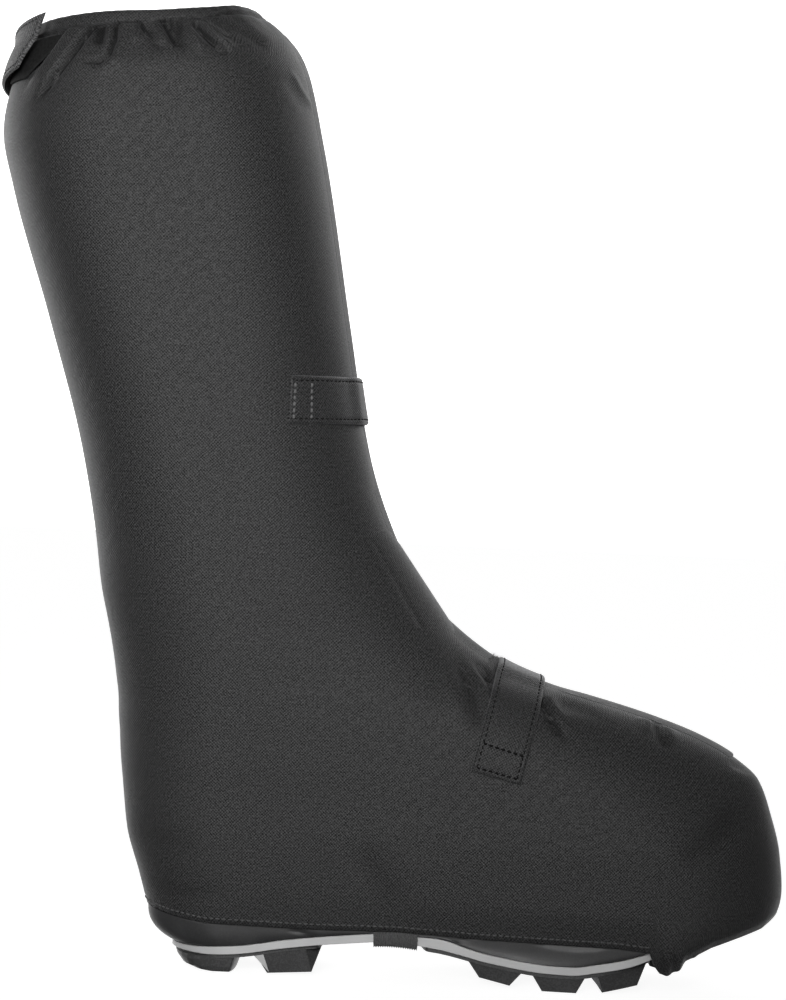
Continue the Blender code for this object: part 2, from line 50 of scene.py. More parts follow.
# Form of the cover, within about 3 mm of its construction: sections at rising heights, hem, tilt of the rim
Section = namedtuple("Section", "rear front heel_half ball_half heel_round toe_round")
COVER_ROWS = (  # a height and the section there
    (22, -37.4, 257.5, 35.5, 49.5, 36.9, 54.5),
    (38, -41.5, 259, 38, 52.5, 41, 58),
    (62, -48, 257.6, 40, 52, 46, 65.6),
    (84, -51, 251.9, 41, 48.5, 50, 79.4),
    (98, -52.7, 246, 42, 46, 52, 100),
    (108, -53.5, 234, 42.5, 44.5, 54, 116),
    (116, -54.3, 218.5, 43, 43.5, 55, 126),
    (124, -54.8, 196, 43.5, 43, 56, 132),
    (132, -56, 167, 44, 43, 57, 128),
    (140, -57.3, 138, 44.5, 43.5, 58, 115),
    (148, -58.8, 120, 45, 44, 59, 104),
    (158, -61, 105, 45.5, 44.5, 60, 95),
    (175, -65, 88, 46, 45.5, 58, 78),
    (200, -68.8, 72.5, 47, 47, 54, 68),
    (240, -77, 57.5, 49, 49, 50, 60),
    (300, -95, 45.5, 52, 52, 50, 56),
    (360, -114.4, 34.5, 55.5, 55.5, 53, 58),
    (386, -120, 29, 57, 57, 54, 58),
    (412, -116.5, 21.8, 54.5, 54.5, 53, 55.8),
    (425, -112, 14.8, 49, 49, 50, 50.8),
    (433, -108.5, 7, 43.5, 43.5, 46, 46),
    (440, -106, -3.2, 41, 41, 44, 41.3),
)
COVER_HEIGHTS, *COVER_COLUMNS = zip(*COVER_ROWS)
HEM_SECTION = Section(*COVER_ROWS[0][1:])
HEM_Z, RIM_Z = COVER_HEIGHTS[0], COVER_HEIGHTS[-1]
FOOT_TOP = 62.0
RIM_START = 386.0
RIM_TILT = 0.105
RIM_WAVES = ((-12, 1.3, 8), (-45, -1.1, 18))  # place, height and reach of the rim's waves
RIM_WAVE_FROM = 422.0
CASING_FOOT = 433.8   # lower edge of the elastic collar casing, at its rear
CASING_NARROWING = 0.037
CASING_REAR = -86.0
CASING = 0.6          # how far it stands proud
CASING_SQUARENESS = 4
CLOTH = 1.4
GAP = 0.3
SWING = 8.0           # the forefoot's swing to the inner side, at the toe
SWING_LENGTH = 250.0
HEM = (
    (-38, 28), (-24, 25.3), (-8, 23), (40, 22.5), (80, 23.6), (120, 22.4), (180, 22), (196, 20.6),
    (198.2, 12.2), (202.5, 9.8), (206.5, 10.4), (210, 12.8), (216, 18.2), (226, 23.2), (236, 26.6),
    (250, 31.2), (257, 36),
)
CUP_TUCK = 7.0        # the toe cup's lower edge is tucked in under the toe
CUP_TUCK_HEIGHT = 5.3
CUP_TUCK_END = 0.03   # share of the side along which the tuck dies out
CUP_REAR = 203.0
CUP_SAG = 1.0
CUP_FLATNESS = 4
CUP_ROWS = 14
BEND_EASING = 12.0    # length over which the straight sides pass into the toe and heel
EASED_TOE = 0.25      # the easing starts at this share of the toe's curve
EASED_HEEL = 0.85     # and ends at this one of the heel's
EASED_REACH = 0.4
RING_SAMPLES = 512


def unit(share):
    return np.clip(share, 0.0, 1.0)


def eased(share):
    share = unit(share)
    return share * share * (3.0 - 2.0 * share)


def mix(a, b, share):
    return a + (b - a) * share


def bell(away, reach):
    """A soft bump of height 1 that dies out past its reach."""
    return np.exp(-((away / reach) ** 2))


def column(values):
    """A list of values as a column, to set against a row of stations."""
    return np.array(values, dtype=float)[:, None]


def summed(steps):
    """Running sums of steps, from 0."""
    return np.concatenate(([0.0], np.cumsum(steps)))


def smooth_curve(places, values):
    """A smooth curve through knots that never overshoots them, for arrays of places."""
    places = np.array(places, dtype=float)
    values = np.array(values, dtype=float)
    spans = np.diff(places)
    slopes = np.diff(values) / spans
    before, after = slopes[:-1], slopes[1:]
    same_way = before * after > 0.0
    total = np.where(same_way, before + after, 1.0)
    middle = np.where(same_way, 2.0 * before * after / total, 0.0)
    tangents = np.concatenate(([slopes[0]], middle, [slopes[-1]]))

    def curve(place):
        place = np.asarray(place, dtype=float)
        i = np.clip(np.searchsorted(places, place, side="right") - 1, 0, len(spans) - 1)
        t = unit((place - places[i]) / spans[i])
        s = 1.0 - t
        ends = values[i] * (1.0 + 2.0 * t) * s * s + values[i + 1] * (3.0 - 2.0 * t) * t * t
        return ends + spans[i] * (tangents[i] * t * s * s - tangents[i + 1] * t * t * s)

    return curve


COVER_CURVES = [smooth_curve(COVER_HEIGHTS, values) for values in COVER_COLUMNS]


def section_at(height):
    return Section(*(curve(height) for curve in COVER_CURVES))


def hem(x):
    return np.interp(x, *zip(*HEM))


def centre(x):
    """Middle line of the foot."""
    return -SWING * (np.maximum(x, 0.0) / SWING_LENGTH) ** 2


def half_width(section, x):
    ball_x = section.front - section.toe_round
    heel_x = section.rear + section.heel_round
    toe_share = unit((x - ball_x) / section.toe_round)
    heel_share = unit((heel_x - x) / section.heel_round)
    side = mix(section.ball_half, section.heel_half, eased((ball_x - x) / (ball_x - heel_x)))
    toe = section.ball_half * np.sqrt(1.0 - toe_share * toe_share)
    heel = section.heel_half * np.sqrt(1.0 - heel_share * heel_share)
    return np.where(x >= ball_x, toe, np.where(x <= heel_x, heel, side))


def grown(section, amount):
    """The same section, larger all round."""
    rear, *others = section
    return Section(rear - amount, *(value + amount for value in others))


def rise(height, section, x):
    """Height of a cover section at one place: bent to the hem low down, tilted and wavy at the collar."""
    share = unit((height - HEM_Z) / (FOOT_TOP - HEM_Z))
    low = hem(x) * (1.0 - share) + FOOT_TOP * share
    tilt = RIM_TILT * eased((height - RIM_START) / (RIM_Z - RIM_START))
    high = height + tilt * (x - (section.rear + section.front) / 2)
    wave = sum(tall * bell(x - place, wide) for place, tall, wide in RIM_WAVES)
    high = high + wave * eased((height - RIM_WAVE_FROM) / (RIM_Z - RIM_WAVE_FROM))
    return np.where(height < FOOT_TOP, low, high)


# Points round a section, from the toe along the inner side to the heel and back along the outer side
Stations = namedtuple("Stations", "toe side heel sign")
SIDE_CROWDING = 1.35  # above 1, the side's stations are closer together towards the toe


def stations(near_steps, far_steps):
    """Stations with their shares of the toe's curve, the side and the heel's curve, and which side it is."""
    rows = []
    for sign, (toe_steps, side_steps, heel_steps) in ((NEAR, near_steps), (FAR, far_steps)):
        half = [(i / toe_steps, 0.0, 0.0, sign) for i in range(toe_steps)]
        half += [(1.0, (i / side_steps) ** SIDE_CROWDING, 0.0, sign) for i in range(side_steps)]
        half += [(1.0, 1.0, i / heel_steps, sign) for i in range(heel_steps + 1)]
        rows += half if sign == NEAR else half[-2:0:-1]
    return Stations(*(np.array(values) for values in zip(*rows)))


def plan(section, places):
    """Points of a section, or of a column of sections, at the stations."""
    ball_x = section.front - section.toe_round
    heel_x = section.rear + section.heel_round
    toe_angle = places.toe * math.pi / 2
    heel_angle = places.heel * math.pi / 2
    x = ball_x + section.toe_round * np.cos(toe_angle) + (heel_x - ball_x) * places.side
    x = x - section.heel_round * np.sin(heel_angle)
    half = mix(section.ball_half, section.heel_half, eased(places.side))
    half = half * np.sin(toe_angle) * np.cos(heel_angle)
    return x, centre(x) + places.sign * half


def eased_ring(x, y):
    """One section's points with sudden changes of its bend spread out, and its size kept."""
    way = summed(np.hypot(np.diff(x, append=x[0]), np.diff(y, append=y[0])))
    even = np.linspace(0.0, way[-1], RING_SAMPLES, endpoint=False)
    ring = np.interp(even, way, np.append(x, x[0])) + 1j * np.interp(even, way, np.append(y, y[0]))
    turns = np.fft.fftfreq(RING_SAMPLES) * RING_SAMPLES
    blur = np.exp(-2.0 * (math.pi * turns * BEND_EASING / way[-1]) ** 2)
    soft = np.fft.ifft(np.fft.fft(ring) * (2.0 * blur - blur * blur))
    soft = np.append(soft, soft[0])
    even = np.append(even, way[-1])
    return np.interp(way[:-1], even, soft.real), np.interp(way[:-1], even, soft.imag)


def eased_sides(x, y, places):
    """Sections with the bends between the sides and the round ends eased, and the tips of the ends kept."""
    weight = eased((places.toe - EASED_TOE) / EASED_REACH) * eased((EASED_HEEL - places.heel) / EASED_REACH)
    rings = [eased_ring(*ring) for ring in zip(x, y)]
    soft_x, soft_y = (np.array(values) for values in zip(*rings))
    return mix(x, soft_x, weight), mix(y, soft_y, weight)


def cover_points(heights, places):
    """The cover's outer face without its folds, as rows of points."""
    heights = column(heights)
    section = section_at(heights)
    x, y = eased_sides(*plan(section, places), places)
    z = rise(heights, section, x)
    behind_cup = 1.0 - unit(places.side / CUP_TUCK_END)
    tuck = CUP_TUCK * places.toe * behind_cup * unit(1.0 - (heights - HEM_Z) / CUP_TUCK_HEIGHT)
    to_x = CUP_REAR - x
    to_y = centre(CUP_REAR) - y
    away = np.maximum(np.hypot(to_x, to_y), 1.0)
    return np.stack([x + to_x / away * tuck, y + to_y / away * tuck, z], axis=-1)


def normals_of(points, closed):
    """Outward normals of a grid whose rows rise and whose columns run in the plan's order."""
    if closed:
        along = np.roll(points, -1, axis=1) - np.roll(points, 1, axis=1)
    else:
        along = np.gradient(points, axis=1)
    normal = np.cross(np.gradient(points, axis=0), along)
    length = np.linalg.norm(normal, axis=-1, keepdims=True)
    return normal / np.maximum(length, 1e-9)


# Folds, listed in the shoe's own sizes. path is in x and z on a side of the shoe. height is how far
# the fold stands out, or in where it is negative, and width is its reach to each side. A fold that hangs
# starts at full height and dies out, while any other fades at both ends. A flat fold has a level top.
Fold = namedtuple("Fold", "path height width hangs flat", defaults=(False, False))
FOLD_START = 0.25     # shares of its length over which a fold comes up and dies out
FOLD_END = 0.32
FLAT_POWER = 8
PLEAT_FOLDS = (  # the pleat of the near side and the troughs beside it
    Fold(((-81.8, 434), (-92, 416.5), (-106, 396)), 1.7, 3.6, hangs=True, flat=True),
    Fold(((-76, 433), (-83, 420.5), (-90, 410), (-102.5, 392)), -2.4, 1.6, hangs=True),
    Fold(((-88.5, 433), (-99, 417), (-108, 407)), -1.8, 1.6, hangs=True),
)
COLLAR_FOLDS = (
    (((-72.6, 432), (-72.4, 426.5), (-72, 420)), -1.9, 3.8),
    (((-69, 434), (-69, 427), (-70, 419)), 1.4, 1.4),
    (((-65.9, 433.5), (-65.4, 425), (-67.4, 417.6), (-72, 413.2), (-82, 414)), -1.9, 1.3),
    (((-62.4, 434.5), (-61.8, 424), (-64.4, 414.6), (-70.5, 409.8), (-78, 410.6)), 1.3, 2.2),
    (((-56.2, 435), (-52.8, 430), (-48.6, 425.6)), -2, 1),
    (((-59, 434), (-55, 423)), 1.2, 2.3),
    (((-49.5, 432), (-46.5, 424), (-44, 418)), -0.9, 3.6),
    (((-49.5, 434.5), (-43, 422)), 1.2, 1.8),
    (((-45, 435), (-41, 428), (-37, 421.5)), -2, 1.1),
    (((-40.8, 437), (-40.6, 429)), -1, 0.9),
    (((-37, 434), (-36.6, 426), (-34, 419)), -1.2, 2.8),
    (((-33, 436), (-28.5, 426), (-24, 419)), 1.4, 2),
    (((-29.6, 433), (-21, 425.5), (-12.5, 420)), -2.8, 1.9),
    (((-25, 434.5), (-17.5, 426.8), (-9, 421.5)), 1.7, 1.9),
    (((-25, 435.5), (-18, 430.8), (-11, 427.5)), -1.6, 1.1),
    (((-20, 437), (-5, 430), (5, 423)), -0.6, 2),
    (((-9, 439), (7, 427)), 0.4, 2.4),
)
SIDE_FOLDS = (
    (((13.5, 418), (19.1, 408.8), (27, 398.5)), 0.5, 1.3),
    (((11, 414), (17, 405), (23, 396.5)), -0.3, 2.2),
    (((111.2, 147.4), (116, 141.6), (124.5, 130)), -1.9, 1.5),
    (((106, 149), (112.5, 140), (119.5, 129)), 0.9, 2.2),
    (((103, 148), (110, 133), (116, 114)), -1, 3.6),
    (((93, 152), (104, 132), (109, 113)), 0.7, 4),
    (((139.5, 134.8), (146.6, 124), (153, 113)), -1.9, 1.5),
    (((143.5, 134.5), (150, 126.5), (158, 117)), 0.9, 2),
    (((147, 132.5), (159, 128.5), (174, 124.5)), -1, 3.2),
    (((195.5, 124), (197.6, 117.5), (201.5, 110)), -1.1, 2),
    (((201.5, 124), (204.5, 114)), 0.7, 2.6),
    (((192, 126), (192.5, 117)), 0.8, 2.2),
    (((230, 106), (236, 104), (242, 101)), -0.6, 1.5),
    (((-46, 66), (-30, 60), (-8, 58)), -0.5, 6),
    (((-40, 40), (-18, 36), (6, 38)), -0.6, 4),
    (((60, 66), (74, 44), (82, 28)), -0.8, 7),
    (((96, 62), (91, 44), (88, 27)), 0.6, 6),
    (((205, 60), (222, 74), (238, 92)), -0.8, 7),
)
CUP_GATHERS = (
    (199, 0.7), (201.6, -0.8), (204, 0.7), (206.4, -0.8), (209.2, 0.6), (212.5, -0.7), (216, 0.4),
)
CUP_GATHER_HEIGHTS = (23, 7)
CUP_GATHER_WIDTH = 1.3
FAR_SHARE = 0.85      # height of the far side's folds, as a share of the near side's
FAR_SHIFT = (3.0, -2.0)
FOLD_FACING = (0.1, 0.35)  # a fold reaches this far past the side that it is on, and fades over this

# Even gathers all round the collar, under its casing
GATHERS = 34
GATHER_STRAY = 0.3
GATHER_LENGTH = (14.0, 30.0)
GATHER_HEIGHT = (0.5, 1.1)
GATHER_WIDTH = (0.008, 0.014)  # as a share of the way round
NEAR_GATHERS = 0.25   # what is left of them where the near side's own folds are
GATHER_SEED = 7
CASING_SEAM = 0.6
CASING_SEAM_DROP = 0.4
CASING_SEAM_WIDTH = 0.6
CASING_RIPPLES = 46
CASING_RIPPLE = 0.08
RIPPLE_STRAY = (2.0, 40.0)  # how far the ripples stray from even places, and how often


def along_path(path, u, v):
    """Distance to a path in a plane and the share of the way along it, for arrays of points."""
    best = np.full(np.broadcast(u, v).shape, 1e9)
    share = np.zeros_like(best)
    lengths = [math.dist(a, b) for a, b in zip(path, path[1:])]
    done = 0.0
    for (u0, v0), (u1, v1), length in zip(path, path[1:], lengths):
        t = unit(((u - u0) * (u1 - u0) + (v - v0) * (v1 - v0)) / (length * length))
        away = np.hypot(u - u0 - t * (u1 - u0), v - v0 - t * (v1 - v0))
        closer = away < best
        best = np.where(closer, away, best)
        share = np.where(closer, (done + t * length) / sum(lengths), share)
        done += length
    return best, share


def fold_height(fold, u, v):
    away, share = along_path(fold.path, u, v)
    end = eased((1.0 - share) / FOLD_END)
    start = 1.0 if fold.hangs else eased(share / FOLD_START)
    return fold.height * start * end * np.exp(-((away / fold.width) ** (FLAT_POWER if fold.flat else 2)))


def side_folds():
    """Near folds, a like set for the far side, and the gathers of the toe cup on both."""
    shared = [Fold(*row, hangs=True) for row in COLLAR_FOLDS] + [Fold(*row) for row in SIDE_FOLDS]
    for fold in [*PLEAT_FOLDS, *shared]:
        yield NEAR, fold
    shift_x, shift_z = FAR_SHIFT
    for fold in shared:
        path = tuple((x + shift_x, z + shift_z) for x, z in fold.path)
        yield FAR, fold._replace(path=path, height=fold.height * FAR_SHARE)
    for sign in (NEAR, FAR):
        for x, height in CUP_GATHERS:
            yield sign, Fold(tuple((x, z) for z in CUP_GATHER_HEIGHTS), height, CUP_GATHER_WIDTH)


def casing_foot(x):
    """Lower edge of the casing, which narrows to the front."""
    return CASING_FOOT + CASING_NARROWING * (x - CASING_REAR)


def gathers(height, foot, way_round, near):
    """Small pleats under the casing, and ripples on it."""
    chance = np.random.default_rng(GATHER_SEED)
    total = np.zeros(np.broadcast(height, way_round).shape)
    for i in range(GATHERS):
        place = (i + chance.uniform(-GATHER_STRAY, GATHER_STRAY)) / GATHERS
        tall = chance.uniform(*GATHER_HEIGHT) * (1.0 if i % 2 else -1.0)
        wide = chance.uniform(*GATHER_WIDTH)
        long = chance.uniform(*GATHER_LENGTH)
        away = (way_round - place + 0.5) % 1.0 - 0.5
        total += tall * bell(away, wide) * eased((height - foot + long) / long) ** 2
    total *= np.where(near, NEAR_GATHERS, 1.0)
    stray, turns = RIPPLE_STRAY
    ripple = np.sin(way_round * CASING_RIPPLES * 2.0 * math.pi + stray * np.sin(way_round * turns))
    return np.where(height > foot, CASING_RIPPLE * ripple, total)


def casing_seam(height, foot):
    """The seam's line under the casing: 1 in it and 0 away from it."""
    return bell(height - foot + CASING_SEAM_DROP, CASING_SEAM_WIDTH)


def casing(height, foot):
    """The collar casing's round profile, with a seam under it."""
    share = unit((height - foot) / (RIM_Z - foot))
    roll = CASING * np.sqrt(unit(1.0 - (2.0 * share - 1.0) ** CASING_SQUARENESS))
    return roll - CASING_SEAM * casing_seam(height, foot)


HEM_STITCH = 1.3      # stitch line above the hem's edge
HEM_GROOVE = (0.45, 0.8)   # depth and reach
HEM_PUCKER = (0.14, 2.2, 1.9)  # height, reach, and waves over a length
HEM_GROOVE_END = 8.0  # how far behind the toe cup's rear they end


def hem_groove(points):
    """The hem pulled in along its stitches."""
    x, _, z = np.moveaxis(points, -1, 0)
    above = z - hem(x) - HEM_STITCH
    depth, reach = HEM_GROOVE
    tall, wide, waves = HEM_PUCKER
    groove = tall * np.sin(x * waves) * bell(above, wide) - depth * bell(above, reach)
    return np.where(x < CUP_REAR - HEM_GROOVE_END, groove, 0.0)


FLAP_EDGES = (-9.0, 20.0)  # off the foot's middle line
FLAP_FOLD_GAP = 1.0   # ridges stay this far away from the flap
FLAP_FOLD_MARGIN = 3.0
RIDGE_FACING = 0.2    # what faces forwards or up more than this is the front ridge
UNDER_CASING = 0.5    # the folds end over this length below and above the casing's lower edge
PAINTED_SHADE_DEPTH = 2.0    # depth at which a trough's painted shade is darkest, and height at which a ridge's painted highlight is lightest
RIDGE_LIGHT = 0.3
# painted shade along the seam under the casing, broken into dashes like stitches
SEAM_SHADE = 0.9
SEAM_DASHES = 0.9     # dashes of painted shade in the seam under the casing, as waves over a length
DASH_STRAY = (3.0, 0.31)


def ring_steps(rings):
    """Distances from each point of closed rings to the next."""
    return np.linalg.norm(np.diff(rings, axis=1, append=rings[:, :1]), axis=-1)


def beside_flap(x, y):
    """Distance to the flap's nearer edge, below zero under the flap."""
    off_middle = y - centre(x)
    return np.maximum(FLAP_EDGES[0] - off_middle, off_middle - FLAP_EDGES[1])


def lift_of_cover(points, normals, heights, places):
    """How far the cover's face stands off its plain form, all over, and its painted shading: painted shade in
    troughs and a painted highlight on ridges.
    """
    x, y, z = np.moveaxis(points, -1, 0)
    heights = column(heights)
    foot = casing_foot(x)
    total = np.zeros(x.shape)
    past, fade = FOLD_FACING
    for sign, fold in side_folds():
        total += fold_height(fold, x, z) * eased((sign * normals[..., 1] + past) / fade)
    total *= eased((foot + UNDER_CASING - heights) / (2.0 * UNDER_CASING))
    # painted shade in the troughs of the folds and a painted highlight on their ridges
    crease = eased(-total / PAINTED_SHADE_DEPTH) - RIDGE_LIGHT * eased(total / PAINTED_SHADE_DEPTH)
    stray, turns = DASH_STRAY
    dashes = 0.5 + 0.5 * np.sin(x * SEAM_DASHES + stray * np.sin(x * turns))
    # painted shade along the seam under the casing, in dashes like stitches
    crease = np.maximum(crease, SEAM_SHADE * dashes * casing_seam(heights, foot))
    steps = ring_steps(points)
    way_round = np.cumsum(steps, axis=1) / np.sum(steps, axis=1, keepdims=True)
    total += gathers(heights, foot, way_round, places.sign == NEAR) + casing(heights, foot)
    total += hem_groove(points)
    on_ridge = normals[..., 0] + normals[..., 2] > RIDGE_FACING
    free = np.where(on_ridge, eased((beside_flap(x, y) - FLAP_FOLD_GAP) / FLAP_FOLD_MARGIN), 1.0)
    return np.where(total > 0.0, total * free, total), crease


# Rings of the cover: their distance at some heights, close over the foot and closest at the collar
RING_STEPS = ((22, 2.3), (152, 2.3), (168, 5), (384, 5), (402, 0.85), (440, 0.85))
RING_TRIALS = 4000
NEAR_STEPS = (168, 44, 76)
FAR_STEPS = (30, 40, 24)
INNER_RINGS = 16


def ring_heights():
    """Heights of the rings, so spaced that neither the front nor the side has long steps."""
    fine = np.linspace(HEM_Z, RIM_Z, RING_TRIALS)
    limit = np.interp(fine, *zip(*RING_STEPS))
    way = summed(np.hypot(np.diff(section_at(fine).front), np.diff(fine)) / limit[1:])
    return np.interp(np.linspace(0.0, way[-1], int(way[-1])), way, fine)


def mesh_from(name, verts, faces, corner_uvs=None):
    """A smooth mesh. corner_uvs has a place on the cloth for each corner of each face, in order."""
    mesh = bpy.data.meshes.new(name)
    mesh.from_pydata((np.asarray(verts) * MM).tolist(), [], faces)
    if corner_uvs is not None:
        layer = mesh.uv_layers.new(name="cloth")
        layer.data.foreach_set("uv", (corner_uvs * MM).ravel().astype(np.float32))
    mesh.validate()
    mesh.shade_smooth()
    return mesh


def add_crease(mesh, values):
    """Painted shading of each point: painted shade where the value is above zero, a painted highlight where
    it is below.
    """
    mesh.attributes.new("crease", "FLOAT", "POINT").data.foreach_set("value", values.astype(np.float32))


def add_piece(name, mesh, finish, slot, *nodes):
    obj = bpy.data.objects.new(name, mesh)
    bpy.context.scene.collection.objects.link(obj)
    mesh.materials.append(finish)
    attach(obj, BODY)
    if nodes:
        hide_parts(*nodes)
    return obj


def ring_faces(start, rows, count, closed=True, flip=False):
    """Faces of a grid of points numbered row by row from start."""
    faces = []
    for r in range(rows - 1):
        for i in range(count if closed else count - 1):
            j = (i + 1) % count
            low, high = start + r * count, start + (r + 1) * count
            face = (low + i, high + i, high + j, low + j)
            faces.append(face[::-1] if flip else face)
    return faces


def corners_of(values, faces):
    """The values of each face's corners, in order."""
    return np.asarray(values)[np.array([corner for face in faces for corner in face])]


def cloth_uvs(rings, places):
    """Lengths round the cover and heights, for the weave, at the corners of its ring faces.

    On each side the lengths follow x, and the two sides' cloths meet at the heel and the toe.
    """
    way = np.concatenate([np.zeros((len(rings), 1)), np.cumsum(ring_steps(rings), axis=1)], axis=1)
    height = np.concatenate([rings[..., 2], rings[:, :1, 2]], axis=1)
    sides = []
    for sign in (NEAR, FAR):
        half = np.flatnonzero(places.sign == sign)
        middle = half[np.argmin(np.abs(places.side[half] - 0.5))]
        across = way - way[:, middle:middle + 1] + sign * rings[:, middle:middle + 1, 0]
        grid = np.stack([across, height], axis=-1)
        corners = np.stack([grid[:-1, :-1], grid[1:, :-1], grid[1:, 1:], grid[:-1, 1:]], axis=2)
        sides.append(corners[:, half])
    return np.concatenate(sides, axis=1).reshape(-1, 2)


def cup_floor(hem_ring, toe_near, toe_far):
    """Rows across the toe cup's underside, between matching points of its inner and outer edge."""
    across = np.linspace(0.0, 1.0, CUP_ROWS + 1)
    belly = CUP_SAG * (1.0 - (2.0 * across - 1.0) ** CUP_FLATNESS)
    tip = hem_ring[0]
    rows = [np.repeat(tip[None], CUP_ROWS + 1, axis=0)]
    for share in np.linspace(0.0, 1.0, toe_near + 1)[1:]:
        near = hem_ring[int(round(share * toe_near))]
        far_place = share * toe_far
        low = int(far_place)
        far = mix(hem_ring[-low if low else 0], hem_ring[-min(low + 1, toe_far)], far_place - low)
        row = mix(near, far, across[:, None])
        row[:, 2] -= belly * min(share * 2.0, 1.0)
        rows.append(row)
    return np.array(rows)


def make_cover(finish):
    """The cover with its inner face and the floor of its toe cup. Gives its outer face and normals."""
    places = stations(NEAR_STEPS, FAR_STEPS)
    count = len(places.sign)
    heights = ring_heights()
    base = cover_points(heights, places)
    normals = normals_of(base, closed=True)
    lift, crease = lift_of_cover(base, normals, heights, places)
    outer = base + normals * lift[..., None]
    inner_rows = np.unique(np.linspace(0, len(heights) - 1, INNER_RINGS).astype(int))
    inner = outer[inner_rows] - normals[inner_rows] * CLOTH
    rim = (outer[-1:] + inner[-1:]) / 2 + np.array([0.0, 0.0, CLOTH / 2])
    rings = np.concatenate([outer, rim, inner[::-1]])
    verts = rings.reshape(-1, 3)
    ring_part = ring_faces(0, len(rings), count)
    last = (len(rings) - 1) * count
    toe_near, toe_far = NEAR_STEPS[0], FAR_STEPS[0]
    faces = [(last + i, i, i + 1, last + i + 1) for i in range(toe_near, count - toe_far)]
    edges = []
    for hem_ring, flip in ((outer[0], True), (inner[0], False)):
        floor = cup_floor(hem_ring, toe_near, toe_far)
        faces += ring_faces(len(verts), len(floor), CUP_ROWS + 1, closed=False, flip=flip)
        verts = np.concatenate([verts, floor.reshape(-1, 3)])
        edges.append(len(verts) - CUP_ROWS - 1)
    outer_edge, inner_edge = edges
    for j in range(CUP_ROWS):
        faces.append((outer_edge + j, outer_edge + j + 1, inner_edge + j + 1, inner_edge + j))
    corner_uvs = np.concatenate([cloth_uvs(rings, places), corners_of(verts[:, :2], faces)])
    mesh = mesh_from("cover", verts, ring_part + faces, corner_uvs)
    # painted shading of the folds, and none on the toe cup's floor
    add_crease(mesh, np.concatenate([crease.ravel(), np.zeros(len(verts) - crease.size)]))
    add_piece("cover", mesh, finish, "cover_fabric", "upper")
    return outer, normals


# Strips: flap, straps and webbing. A strip has a grid of points on its lower face and a thickness.
Strip = namedtuple("Strip", "top normals across along")
EDGE_ROUND = 1.1      # how far in from its edges a strip's upper face is rounded
EDGE_LEAST = 0.12     # share of the thickness at the very edge
EDGE_PLACES = (0, 0.12, 0.3, 0.55, 0.85, 1.3, 1.8, 2.3, 2.8, 3.4)
SEAM_INSET = 2.3
SEAM_DEPTH = 0.28
SEAM_WIDTH = 0.55
SHARP = math.radians(50)


def edge_shares(count, length):
    """Even shares along a length, with more of them near its two ends."""
    near = np.array(EDGE_PLACES) / length
    inside = np.linspace(near[-1], 1.0 - near[-1], count)
    return np.concatenate([near[:-1], inside, 1.0 - near[:-1][::-1]])


def way_along(points, axis):
    """Length of the way to each grid point along its row or column."""
    steps = np.linalg.norm(np.diff(points, axis=axis), axis=-1)
    start = np.zeros_like(steps.take([0], axis=axis))
    return np.concatenate([start, np.cumsum(steps, axis=axis)], axis=axis)


def to_edges(points, axis):
    """Distance of each grid point to the nearer end of its row or column."""
    way = way_along(points, axis)
    return np.minimum(way, np.max(way, axis=axis, keepdims=True) - way)


def strip_profile(points, thickness, seams=False):
    """Height of a strip's upper face over its lower one: rounded edges and pulled-in stitch lines."""
    to_side, to_end = to_edges(points, 0), to_edges(points, 1)
    edge = unit(np.minimum(to_side, to_end) / EDGE_ROUND)
    profile = thickness * mix(EDGE_LEAST, 1.0, np.sqrt(1.0 - (1.0 - edge) ** 2))
    for away in (to_side, to_end) if seams else ():
        profile = profile - SEAM_DEPTH * bell(away - SEAM_INSET, SEAM_WIDTH)
    return profile


def make_strip(name, points, lift, profile, finish, slot, nodes=(), swap=True, crease=None):
    """A closed strip over a grid of points: lower face lifted by lift, upper face by the profile as well.

    swap turns its faces over. The last argument has a value of painted shading for each column, darker above
    zero and lighter below.
    """
    normals = normals_of(points, closed=False)
    if swap:
        normals = -normals
    low = points + normals * np.asarray(lift)[..., None]
    top = low + normals * profile[..., None]
    rows, count = top.shape[:2]
    size = rows * count
    verts = np.concatenate([top.reshape(-1, 3), low.reshape(-1, 3)])
    faces = ring_faces(0, rows, count, closed=False, flip=swap)
    faces += ring_faces(size, rows, count, closed=False, flip=not swap)
    index = np.arange(size).reshape(rows, count)
    border = np.concatenate([index[0], index[1:, -1], index[-1, -2::-1], index[-2:0:-1, 0]]).tolist()
    for a, b in zip(border, border[1:] + border[:1]):
        face = (a, b, size + b, size + a)
        faces.append(face[::-1] if swap else face)
    way_up, way = way_along(points, 0), way_along(points, 1)
    uvs = np.stack([way, way_up], axis=-1).reshape(-1, 2)
    mesh = mesh_from(name, verts, faces, corners_of(np.concatenate([uvs, uvs]), faces))
    mesh.set_sharp_from_angle(angle=SHARP)
    # painted shading, the same for both faces of each column
    if crease is not None:
        add_crease(mesh, np.tile(crease, 2 * rows))
    add_piece(name, mesh, finish, slot, *nodes)
    return Strip(top, normals, way_up, way)


FLAP = 1.0
STRAP = 1.5
WEBBING = 1.4
FLAP_HEIGHTS = (108.0, 430.0)
FLAP_TRIALS = 2000
FLAP_ROWS = 190
FLAP_COLUMNS = 18
FLAP_CLEAR = 0.6
STRAP_PRESS = 2.0
STRAP_ROWS = 12
FLAP_MARGIN = 4.0
FLAP_STEP_OUT = 9.0
FLAP_FEATHER = 13.0
FLAP_LEAST = 0.05
FLAP_EDGE = (0.1, 0.14)  # thickness of its inner edge up the shin and over the toes, as a share
FLAP_TOE = (165.0, 205.0)
FLAP_BULGE = (109.0, 15.0, 1.0)   # where along it the flap stands off above the strap, its reach and height
FLAP_DIP = (152.0, 12.0, 0.6)     # where it lies flatter below the strap, its reach, and by what share


